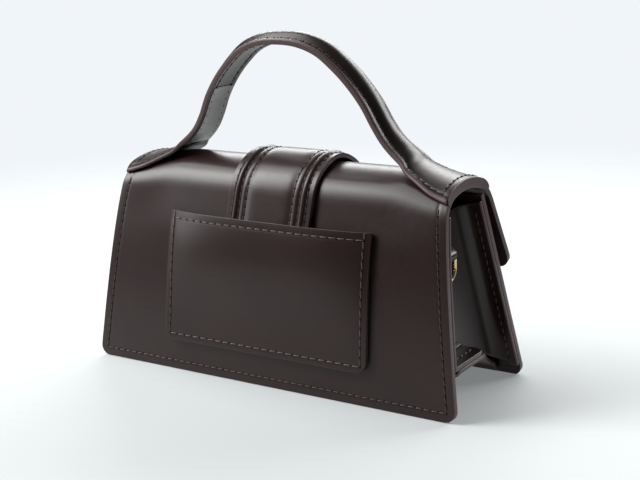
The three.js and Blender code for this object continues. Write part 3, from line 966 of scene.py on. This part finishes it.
def gusset_point(part, u, z):
    """Distance in from the bag's end, and y, of the middle of a gusset's leather."""
    back = back_inside(z) - GUSSET_WALL / 2
    front = front_inside(z) + GUSSET_WALL / 2
    sine, cosine = math.sin(u * math.pi / 2), math.cos(u * math.pi / 2)
    if part == "back":
        return u * GUSSET_FLANGE, back
    if part == "back_bend":
        return GUSSET_FLANGE + GUSSET_BEND * sine, back - GUSSET_BEND * (1 - cosine)
    if part == "wall":
        inset = GUSSET_FLANGE + GUSSET_BEND + GUSSET_BOW * (1 - (2 * u - 1) ** 2)
        return inset, lerp(back - GUSSET_BEND, front + GUSSET_BEND, u)
    if part == "front_bend":
        return GUSSET_FLANGE + GUSSET_BEND * cosine, front + GUSSET_BEND * (1 - sine)
    return (1 - u) * GUSSET_FLANGE, front


GUSSET_COLUMNS = (
    [("back", i / 4) for i in range(5)]
    + [("back_bend", i / 5) for i in range(1, 6)]
    + [("wall", i / 24) for i in range(1, 25)]
    + [("front_bend", i / 5) for i in range(1, 6)]
    + [("front", i / 4) for i in range(1, 5)]
)
ON_BASE = BASE_LIFT + BASE_WALL / 2 + SEAM


def gusset_top(share):
    back, middle, front = GUSSET_TOP
    end = back if share < 0.5 else front
    return lerp(end, middle, math.sin(share * math.pi))


def gusset_bottom(part, u):
    if part == "front":
        return FOOT_CORNER + SEAM
    if part in ("back", "back_bend"):
        return ON_BASE
    return min(ON_BASE, web_height(gusset_point(part, u, ON_BASE)[1]) + BASE_CLEAR)


class HANDBAG_OT_gussets(bpy.types.Operator):
    """Set-back end walls, sewn inside the panels and on the base"""

    bl_idname = "handbag.gussets"
    bl_label = "Gussets"

    def execute(self, context):
        bottoms = [gusset_bottom(*column) for column in GUSSET_COLUMNS]
        last = len(GUSSET_COLUMNS) - 1
        for name, side in (("left", -1), ("right", 1)):

            def place(j, v, side=side):
                part, u = GUSSET_COLUMNS[j]
                z = lerp(bottoms[j], gusset_top(j / last), v)
                inset, y = gusset_point(part, u, z)
                if part == "wall":
                    crease = 0.45 + 0.35 * (v - 0.5)
                    inset += GUSSET_FOLD * groove(u, crease, 0.11)
                return (side * (half_width(z) - inset), y, z)

            wall = leather_sheet(
                "gusset_wall",
                list(range(last + 1)),
                spaced(0, 1, 40),
                place,
                GUSSET_WALL,
                calf_looks(),
                rounding=0.5,
                side=0,
            )
            high = ON_BASE + GUSSET_WALL
            end = half_width(BASE_LIFT) - BASE_EDGE
            back = back_inside(high) - GUSSET_WALL / 2
            front = lerp(
                back_inside(BASE_LIFT) - BASE_WALL / 2,
                front_inside(BASE_LIFT) + BASE_WALL / 2,
                FOOT_STRIP_REACH,
            )

            def strip(i, j, side=side, end=end, back=back, front=front):
                y = lerp(back, front, j / 20)
                u = (back - GUSSET_BEND - y) / (back - front_inside(high) - 2 * GUSSET_BEND)
                inset = gusset_point("wall", min(max(u, 0.0), 1.0), high)[0]
                inside = half_width(high) - inset + GUSSET_WALL / 2
                rise = 0.0
                if i > 10:
                    angle = (i - 10) / 5 * math.pi / 2
                    x = inside + FOOT_STRIP_BEND - FOOT_STRIP_BEND * math.sin(angle)
                    rise = FOOT_STRIP_BEND * (1 - math.cos(angle))
                else:
                    outer = end - corner_inset(y - front, FOOT_STRIP_CORNER)
                    x = lerp(outer, inside + FOOT_STRIP_BEND, i / 10)
                return (side * x, y, ON_BASE + GUSSET_WALL / 2 + rise)

            foot = leather_sheet(
                "gusset_foot",
                list(range(16)),
                list(range(21)),
                strip,
                GUSSET_WALL,
                calf_looks(),
                heart=(0, 0, 0),
                rounding=0.5,
                side=0,
            )
            gusset = join("gusset_leather_" + name, [wall, foot])
            settle(gusset, "body_leather", "gusset_" + name)
            seam_x = end - 4.4
            top = ON_BASE + GUSSET_WALL + 0.05
            rows = [[(side * seam_x, y, top) for y in spaced(back - 1, front + 3, 20)]]
            for edge, inward, start in ((front_inside, 1, 9.0), (back_inside, -1, 22.0)):
                line = []
                for z in spaced(start, 74.0, 60):
                    y = edge(z) + inward * (GUSSET_WALL + 0.05)
                    line.append((side * (half_width(z) - 3.2), y, z))
                rows.append(line)
            sew("gusset_stitches_" + name, rows, context.scene.handbag_sewing.fine_pitch)
        return {"FINISHED"}


POCKET_FULLNESS = BAND_WALL + BAND_RAISE + 2 * SEAM


def pocket_point(x, up, half, off):
    """A point on the pocket's outer face, off it by a distance."""
    height = POCKET_TOP - POCKET_FOOT
    share = up / height
    full = POCKET_FULLNESS * smoothstep(share, *POCKET_SLACK) * (1 - min(abs(x / half), 1) ** 4)
    x, y, z = off_shell(back_along(POCKET_FOOT + up), x, SEAM + POCKET_WALL + off)
    return (x, y + full, z)


class HANDBAG_OT_pocket(bpy.types.Operator):
    """Slip pocket on the back, open at its top"""

    bl_idname = "handbag.pocket"
    bl_label = "Back pocket"

    def execute(self, context):
        height = POCKET_TOP - POCKET_FOOT

        def width(up):
            return lerp(POCKET_FOOT_WIDTH, POCKET_TOP_WIDTH, up / height) / 2

        def place(column, up):
            half = width(up)
            x = column_x(column, half - corner_inset(up, POCKET_CORNER))
            edge = min(half - abs(x), up, height - up)
            return pocket_point(x, up, half, -GROOVE_DEPTH * groove(edge, POCKET_SEAM))

        pocket = leather_sheet(
            "pocket_leather",
            column_places(36),
            graded(height, 1.9),
            place,
            POCKET_WALL,
            calf_looks(),
            rounding=0.45,
        )
        settle(pocket, "body_leather", "back_pocket")

        def line(start, end, count=50):
            points = []
            for i in range(count + 1):
                x, up = (lerp(a, b, i / count) for a, b in zip(start, end))
                points.append(pocket_point(x, up, width(up), THREAD_OFF))
            return points

        low, high = POCKET_SEAM, height - POCKET_SEAM
        left, right = width(low) - POCKET_SEAM, width(high) - POCKET_SEAM
        rows = [
            line((-left, low), (left, low)),
            line((-left, low), (-right, high)),
            line((left, low), (right, high)),
            line((-right, high), (right, high)),
        ]
        for side in (-1, 1):
            rows.append(line((side * right, high), (side * right, height + 0.2), 4))
        pitch = context.scene.handbag_sewing.fine_pitch * 1.12
        sew("pocket_stitches", rows, pitch, look="pale_thread")
        return {"FINISHED"}


def band_off(s, edge):
    """How far the band's face stands off the shell, at a distance from the band's edge."""
    lift = BAND_LIFT * (1 - smoothstep(abs(s - CREST_ALONG), 0.0, BAND_LIFT_REACH))
    return SEAM + BAND_WALL - BAND_FACE + lift + band_relief(edge)


def band_relief(edge):
    """How far the band's face stands over its wall, at a distance from its edge."""
    if edge < BAND_SEAMS[0]:
        return 0.05
    if edge < BAND_SEAMS[1]:
        share = (edge - BAND_SEAMS[0]) / (BAND_SEAMS[1] - BAND_SEAMS[0])
        return 0.05 + BAND_RIDGE * math.sin(math.pi * share) ** 0.8
    if edge < BAND_SEAMS[2]:
        share = (edge - BAND_SEAMS[1]) / (BAND_SEAMS[2] - BAND_SEAMS[1])
        return 0.05 + 0.35 * share + 0.4 * math.sin(math.pi * share)
    return 0.4 + 0.35 * smoothstep(edge, BAND_SEAMS[2], BAND_SEAMS[2] + 3.0)


class HANDBAG_OT_band(bpy.types.Operator):
    """Broad band over the top, with padded ridges between its stitches"""

    bl_idname = "handbag.band"
    bl_label = "Centre band"

    def execute(self, context):
        start = back_along(POCKET_TOP - BAND_TUCK)
        end = SHELL_LENGTH - BAND_FRONT_GAP
        half = BAND_WIDTH / 2
        stops = [0, 0.4, 1.0, 1.7, 2.1, 2.4, 2.7, 3.2, 4.1, 5.0, 5.5, 5.8, 6.1, 6.7, 7.4, 8.2]
        stops += [8.7, 9.0, 9.3, 10.0, 11.0, 12.5, 15.0, 18.0]
        columns = [-(half - d) / half for d in stops] + [0.0]
        columns += [-c for c in reversed(columns[:-1])]
        count = int((end - start - 2 * BAND_CORNER) / 1.5)
        rows = [start + i / count * (end - BAND_CORNER - start) for i in range(count + 1)]
        rows += [end - BAND_CORNER * (1 - i / 8) for i in range(1, 9)]

        def place(u, s):
            drawn = half - corner_inset(end - s, BAND_CORNER)
            x = u * drawn
            edge = min(half - abs(u) * half, end - s)
            return off_shell(s, x, band_off(s, edge))

        band = leather_sheet(
            "band_leather", columns, rows, place, BAND_WALL - 0.35, calf_looks(), rounding=0.5
        )
        settle(band, "body_leather", "centre_band")
        lines = []
        for seam in BAND_SEAMS:

            def thread_point(s, x, seam=seam):
                return off_shell(s, x, band_off(s, seam) + THREAD_OFF)

            turn, edge = end - seam, half - seam
            lines.append([thread_point(turn, x) for x in spaced(-edge, edge, 20)])
            for side in (-1, 1):
                lines.append([thread_point(s, side * edge) for s in spaced(start, turn, 110)])
        sew("band_stitches", lines, context.scene.handbag_sewing.fine_pitch * 0.93)
        return {"FINISHED"}


def through(points, t):
    """A place on the smooth curve through a table's points, at a share of its rows."""
    last = len(points) - 1
    p = t * last
    i = min(int(math.floor(p)), last - 1)
    w = p - i
    x1, x2 = points[i], points[i + 1]
    x0 = points[i - 1] if i > 0 else 2 * x1 - x2
    x3 = points[i + 2] if i + 2 <= last else 2 * x2 - x1
    d0, d1, d2 = (math.dist(a, b) ** 0.5 for a, b in ((x0, x1), (x1, x2), (x2, x3)))
    d1 = d1 if d1 > 1e-4 else 1.0
    d0 = d0 if d0 > 1e-4 else d1
    d2 = d2 if d2 > 1e-4 else d1
    t1 = ((x1 - x0) / d0 - (x2 - x0) / (d0 + d1) + (x2 - x1) / d1) * d1
    t2 = ((x2 - x1) / d1 - (x3 - x1) / (d1 + d2) + (x3 - x2) / d2) * d1
    c2 = -3 * x1 + 3 * x2 - 2 * t1 - t2
    c3 = 2 * x1 - 2 * x2 + t1 + t2
    return x1 + t1 * w + c2 * w * w + c3 * w**3


def run_table(first, second):
    half = [(row[first], row[second]) for row in HANDLE_RUN]
    return np.array(half + [(-a, b) for a, b in reversed(half[:-1])])


RUN_LIFT = run_table(0, 1)
RUN_FLARE = run_table(0, 2)
RUN_DRAPE = run_table(0, 3)


def strap_middle(t):
    along, lift = through(RUN_LIFT, min(max(t, 0.0), 1.0))
    x = -along * half_width(BODY_HEIGHT)
    lift = max(lift, 0.0)
    return x, BODY_HEIGHT + crown(x, BODY_HEIGHT) + lift * GRIP_HEIGHT, lift


def strap_frame(t):
    """What a cross-section of the handle needs, at a share of its run."""
    x, z, lift = strap_middle(t)
    before, after = strap_middle(t - 0.002), strap_middle(t + 0.002)
    drape = min(max(through(RUN_DRAPE, t)[1], 0.0), 1.0)
    flare = min(max(through(RUN_FLARE, t)[1], 0.0), 1.0)
    return {
        "x": x,
        "z": z,
        "lift": lift,
        "slope": math.atan2(after[1] - before[1], after[0] - before[0]),
        "drape": drape,
        "half": lerp(STRAP_HALF, FOOT_HALF_GIRTH, flare),
        "thick": lerp(STRAP_WALL, FOOT_WALL, max(drape, flare)),
    }


def strap_point(f, lateral, off):
    """A point of the handle: lateral millimetres from its middle line, off its underside."""
    u = lateral / f["half"]
    drape = f["drape"]
    y, z, ny, nz = on_shell(CREST_ALONG - lateral)
    flat_up = STRAP_HOLLOW * (1 - u * u) * (1 - drape)
    across = lerp(lateral, y - CREST_Y, drape)
    up = lerp(flat_up, z - CREST_Z, drape)
    rise = up + off * lerp(1, nz, drape)
    flush = half_width(z) / half_width(BODY_HEIGHT)
    x = f["x"] * lerp(1, flush, drape) - rise * math.sin(f["slope"])
    return (
        x + HANDLE_SWAY * f["lift"],
        CREST_Y + across + off * ny * drape + HANDLE_LEAN * f["lift"],
        f["z"] + rise * math.cos(f["slope"]),
    )


def strap_top(f, edge):
    """Height of the handle's upper face at a distance from its edge."""
    rim = f["thick"] - lerp(STRAP_EDGE, FOOT_SKIVE, f["drape"])
    inner = max(f["half"] - edge, 0.0) / (f["half"] - HANDLE_SEAM)
    dome = max(1 - inner**2.6, 0.0)
    return rim + (f["thick"] - rim) * dome - 0.22 * groove(edge, HANDLE_SEAM, 0.5)


def strap_outline(f):
    """Half of the handle's section, from the middle of its underside to the middle of its top."""
    half = f["half"]
    flat = f["drape"]
    points = []
    for share in (0.0, 0.25, 0.5, 0.75, 1.0):
        points.append((share * (half - HANDLE_SEAM - 0.7), SEAM, "under"))
    for edge in (HANDLE_SEAM, HANDLE_SEAM - 0.7, 1.2):
        dip = 0.18 * groove(edge, HANDLE_SEAM, 0.5) * (1 - flat)
        points.append((half - edge, SEAM + dip, "under"))
    radius = 0.5
    for i in range(1, 6):
        angle = i / 5 * math.pi / 2
        reach = radius * (1 - math.sin(angle))
        points.append((half - reach, SEAM + radius * (1 - math.cos(angle)), "edge"))
    rim = SEAM + strap_top(f, 0.0)
    radius = 0.7
    for i in range(6):
        angle = i / 5 * math.pi / 2
        reach = radius * (1 - math.cos(angle))
        points.append((half - reach, rim - radius * (1 - math.sin(angle)), "edge"))
    for edge in (1.4, 1.9, 2.4, 2.9, 3.4, 3.9, 4.5, 5.3):
        points.append((half - edge, SEAM + strap_top(f, edge), "top"))
    left = half - 5.3
    for share in (0.8, 0.6, 0.4, 0.2, 0.0):
        lateral = share * left
        points.append((lateral, SEAM + strap_top(f, half - lateral), "top"))
    return points


class HANDBAG_OT_handle(bpy.types.Operator):
    """Padded arched handle, sewn over the top at each end"""

    bl_idname = "handbag.handle"
    bl_label = "Handle"

    def execute(self, context):
        steps = 150
        frames = [strap_frame(i / steps) for i in range(steps + 1)]
        sections = []
        for f in frames:
            right = strap_outline(f)
            left = [(-a, b, kind) for a, b, kind in reversed(right[1:-1])]
            sections.append(right + left)
        kinds = [kind for _, _, kind in sections[0]]
        count = len(kinds)

        def place(j, i):
            lateral, off, _ = sections[i][j % count]
            return strap_point(frames[i], lateral, off)

        handle = grid("handle_leather", list(range(count + 1)), list(range(steps + 1)), place)
        for look in calf_looks("handle_calf"):
            handle.data.materials.append(look)
        for face in handle.data.polygons:
            j = face.index % count
            kind = kinds[j] if kinds[j] == kinds[(j + 1) % count] else "edge"
            face.material_index = int(kind == "edge")
        edit(
            handle,
            (bpy.ops.mesh.remove_doubles, {"threshold": 1e-6}),
            (bpy.ops.mesh.select_all, {"action": "DESELECT"}),
            (bpy.ops.mesh.select_mode, {"type": "EDGE"}),
            (bpy.ops.mesh.select_non_manifold, {}),
            (bpy.ops.mesh.edge_face_add, {}),
        )
        for face in handle.data.polygons:
            if len(face.vertices) > 4:
                face.material_index = 1
        edit(handle, (bpy.ops.mesh.normals_make_consistent, {"inside": False}))
        modify(
            handle,
            "BEVEL",
            width=0.5 * MM,
            segments=3,
            limit_method="ANGLE",
            angle_limit=math.radians(60),
            material=1,
        )
        smooth(handle, 50)
        settle(handle, "handle_leather", "handle")

        def line(start, end, side, off=None, count=160):
            points = []
            for t in spaced(start, end, count):
                f = strap_frame(t)
                lateral = side * (f["half"] - HANDLE_SEAM)
                over = SEAM + strap_top(f, HANDLE_SEAM) + THREAD_OFF
                points.append(strap_point(f, lateral, over if off is None else off))
            return points

        def end_line(t):
            f = strap_frame(t)
            reach = f["half"] - HANDLE_SEAM
            points = []
            for lateral in spaced(-reach, reach, 24):
                off = SEAM + strap_top(f, f["half"] - abs(lateral)) + THREAD_OFF
                points.append(strap_point(f, lateral, off))
            return points

        end_share = 0.0135
        pitch = context.scene.handbag_sewing.fine_pitch
        low, high = LINING_RUN
        rows = [end_line(end_share), end_line(1 - end_share)]
        for side in (-1, 1):
            rows.append(line(end_share, 1 - end_share, side))
            rows.append(line(high, 1 - high, side, SEAM + 0.1))
            rows.append(line(low, high, side, SEAM - GROOVE_DEPTH, 60))
            rows.append(line(1 - high, 1 - low, side, SEAM - GROOVE_DEPTH, 60))
        sew("handle_stitches", rows, pitch, "handle_leather")

        def facing(u, t):
            f = strap_frame(t)
            return strap_point(f, u * (f["half"] - LINING_MARGIN), SEAM - 0.1)

        # the lining's pale grey colour is painted reflection of the floor, on a real lining piece
        for name, start, end in (("left", low, high), ("right", 1 - high, 1 - low)):
            lining = leather_sheet(
                "handle_lining_" + name,
                spaced(-1, 1, 16),
                spaced(start, end, 50),
                facing,
                LINING_WALL,
                calf_looks("inner_calf"),
                heart=(0, 0, 300),
                rounding=0.15,
                side=0,
            )
            settle(lining, "handle_leather")
        return {"FINISHED"}


def ring_bar(side):
    """Middle of a D-ring's straight bar."""
    inset, y = gusset_point("wall", RING_PLACE, RING_BAR_HEIGHT)
    face = half_width(RING_BAR_HEIGHT) - inset + GUSSET_WALL / 2
    stand_off = LOOP_GAP + LOOP_WALL + RING_PLAY + RING_WIRE
    return (side * (face + stand_off), y, RING_BAR_HEIGHT)


class HANDBAG_OT_rings(bpy.types.Operator):
    """Gold D-rings and the leather loops that hold them"""

    bl_idname = "handbag.rings"
    bl_label = "D-rings and loops"

    def execute(self, context):
        for name, side in (("left", -1), ("right", 1)):
            bar = ring_bar(side)
            points = []

            def arc(y, z, radius, start, end, steps, points=points, bar=bar):
                for degrees in spaced(start, end, steps):
                    angle = math.radians(degrees)
                    out, up = radius * math.cos(angle), radius * math.sin(angle)
                    points.append((bar[0], bar[1] + y + out, bar[2] + z + up))

            straight = RING_HALF_WIDTH - RING_CORNER
            arc(straight, -RING_CORNER, RING_CORNER, 90, 0, 8)
            arc(0, RING_HALF_WIDTH - RING_DROP, RING_HALF_WIDTH, 0, -180, 36)
            arc(-straight, -RING_CORNER, RING_CORNER, 180, 90, 8)
            wire = path_curve(points, closed=True)
            wire.data.dimensions = "3D"
            wire.data.bevel_depth = RING_WIRE * MM
            wire.data.bevel_resolution = 5
            pick(wire)
            bpy.ops.object.convert(target="MESH")
            ring = bpy.context.object
            ring.name = "ring_gold_" + name
            ring.data.materials.append(material("gold"))
            edit(
                ring,
                (bpy.ops.mesh.remove_doubles, {"threshold": 1e-6}),
                (bpy.ops.mesh.normals_make_consistent, {"inside": False}),
            )
            smooth(ring, 60)
            settle(ring, "gold_metal", "d_ring_" + name, body="ring_" + name)

            lean = math.atan(SIDE_TAPER)
            inner = RING_WIRE + RING_PLAY + LOOP_WALL / 2
            strip = [(-inner, LOOP_RISE - i * LOOP_RISE / 8) for i in range(9)]
            for i in range(1, 17):
                angle = math.pi + math.pi * i / 16
                strip.append((inner * math.cos(angle), inner * math.sin(angle)))
            close = -inner + LOOP_WALL
            for i in range(1, 11):
                t = i / 10
                strip.append((lerp(inner, close, smoothstep(t, 0, 1)), t * 2 * inner))
            for i in range(1, 9):
                strip.append((close, lerp(2 * inner, LOOP_RISE, i / 8)))

            def place(u, row, side=side, bar=bar):
                out, up = strip[row]
                x = out * math.cos(lean) - up * math.sin(lean)
                z = out * math.sin(lean) + up * math.cos(lean)
                return (bar[0] + side * x, bar[1] + u * LOOP_HALF_WIDTH, bar[2] + z)

            loop = leather_sheet(
                "loop_leather_" + name,
                [-1, -0.5, 0, 0.5, 1],
                list(range(len(strip))),
                place,
                LOOP_WALL - 0.06,
                calf_looks(),
                heart=(bar[0], bar[1], bar[2] - 1),
                rounding=0.25,
                side=0,
            )
            settle(loop, "body_leather", "ring_loop_" + name)
            face = close + LOOP_WALL / 2 + 0.05
            rows = []
            for up in LOOP_SEAMS:
                x = bar[0] + side * (face * math.cos(lean) - up * math.sin(lean))
                z = bar[2] + face * math.sin(lean) + up * math.cos(lean)
                rows.append([(x, bar[1] + y, z) for y in (-2.1, 0.0, 2.1)])
            sew("loop_stitches_" + name, rows, 1.4)
        return {"FINISHED"}


class HANDBAG_OT_snap(bpy.types.Operator):
    """Hidden magnetic snap under the flap"""

    bl_idname = "handbag.snap"
    bl_label = "Magnetic snap"

    def execute(self, context):
        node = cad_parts["magnetic_snap"]
        node.data.materials.clear()
        node.data.materials.append(material("gold"))
        return {"FINISHED"}


class HANDBAG_OT_stage(bpy.types.Operator):
    """Pale floor, soft studio light and the camera"""

    bl_idname = "handbag.stage"
    bl_label = "Stage"

    def execute(self, context):
        settings = context.scene.handbag_stage
        deselect()
        bpy.ops.mesh.primitive_plane_add(size=12, location=(0, 0, -0.0002))
        floor = context.object
        floor.name = "floor"
        bpy.ops.object.transform_apply(location=True, rotation=True, scale=True)
        floor.data.materials.append(material("floor"))

        world = bpy.data.worlds.new("pale_room")
        context.scene.world = world
        world.use_nodes = True
        tree = world.node_tree
        tree.nodes.clear()
        output = add(tree, "ShaderNodeOutputWorld")
        light = add(tree, "ShaderNodeBackground")
        light.inputs["Color"].default_value = (0.95, 0.97, 1.0, 1)
        light.inputs["Strength"].default_value = settings.world_strength
        backdrop = add(tree, "ShaderNodeBackground")
        backdrop.inputs["Color"].default_value = (*settings.backdrop_colour, 1)
        ray = add(tree, "ShaderNodeLightPath")
        choice = add(tree, "ShaderNodeMixShader")
        tree.links.new(ray.outputs["Is Camera Ray"], choice.inputs["Fac"])
        tree.links.new(light.outputs[0], choice.inputs[1])
        tree.links.new(backdrop.outputs[0], choice.inputs[2])
        tree.links.new(choice.outputs[0], output.inputs["Surface"])

        def area(name, power, size, place, aim):
            deselect()
            bpy.ops.object.light_add(type="AREA", location=place)
            lamp = context.object
            lamp.name = name
            lamp.data.energy = power
            lamp.data.shape = "RECTANGLE"
            lamp.data.size, lamp.data.size_y = size
            way = Vector(aim) - Vector(place)
            lamp.rotation_euler = way.to_track_quat("-Z", "Y").to_euler()

        area("panel_light", 10.6, (0.5, 0.5), (0.7, 0.45, 0.77), (0, 0, 0.05))
        area("shoulder_light", 6.6, (0.8, 0.5), (0.5, 0.05, 0.95), (0, 0, 0.05))
        area("rear_light", 14.5, (1.5, 0.4), (0.28, -1.05, 0.64), (0, 0, 0.08))
        area("side_light", 5.5, (0.45, 0.35), (-0.6, -0.88, 0.54), (0, 0, 0.08))
        area("left_light", 2.4, (0.3, 0.5), (0.9, 0.62, 0.3), (0.03, 0, 0.05))

        place = Vector((-0.2917, 0.4386, 0.1854))
        target = Vector((-0.009434, 0.0, 0.056816))
        ahead = (target - place).normalized()
        right = ahead.cross(Vector((0, 0, 1))).normalized()
        up = right.cross(ahead)
        roll = math.radians(-1.554)
        across = right * math.cos(roll) + up * math.sin(roll)
        above = up * math.cos(roll) - right * math.sin(roll)
        turn = Matrix((across, above, -ahead)).transposed()
        deselect()
        bpy.ops.object.camera_add(location=place)
        camera = context.object
        camera.name = "photo_camera"
        camera.rotation_euler = turn.to_euler()
        camera.data.lens = settings.lens
        camera.data.sensor_width = 36
        camera.data.sensor_fit = "HORIZONTAL"
        camera.data.clip_start = 0.01
        context.scene.camera = camera
        context.scene.view_settings.view_transform = "Standard"
        return {"FINISHED"}


class HANDBAG_PT_panel(bpy.types.Panel):
    """The handbag's pieces and settings"""

    bl_idname = "HANDBAG_PT_panel"
    bl_label = "Handbag"
    bl_space_type = "VIEW_3D"
    bl_region_type = "UI"
    bl_category = "Handbag"

    def draw(self, context):
        for settings in ("handbag_leather", "handbag_sewing", "handbag_stage"):
            group = getattr(context.scene, settings)
            box = self.layout.box()
            for key in group.bl_rna.properties.keys():
                if key not in ("rna_type", "name"):
                    box.prop(group, key)
        for operator in OPERATORS:
            self.layout.operator(operator.bl_idname)


OPERATORS = (
    HANDBAG_OT_stage,
    HANDBAG_OT_back_and_flap,
    HANDBAG_OT_front_panel,
    HANDBAG_OT_base,
    HANDBAG_OT_gussets,
    HANDBAG_OT_pocket,
    HANDBAG_OT_band,
    HANDBAG_OT_handle,
    HANDBAG_OT_rings,
    HANDBAG_OT_snap,
)
SETTINGS = (
    ("handbag_leather", HandbagLeather),
    ("handbag_sewing", HandbagSewing),
    ("handbag_stage", HandbagStage),
)


def register():
    for name, group in SETTINGS:
        bpy.utils.register_class(group)
        setattr(bpy.types.Scene, name, bpy.props.PointerProperty(type=group))
    for operator in (*OPERATORS, HANDBAG_PT_panel):
        bpy.utils.register_class(operator)


def unregister():
    for operator in (HANDBAG_PT_panel, *reversed(OPERATORS)):
        bpy.utils.unregister_class(operator)
    for name, group in reversed(SETTINGS):
        delattr(bpy.types.Scene, name)
        bpy.utils.unregister_class(group)


def main():
    register()
    for operator in OPERATORS:
        family, name = operator.bl_idname.split(".")
        getattr(getattr(bpy.ops, family), name)()


if __name__ == "__main__":
    main()
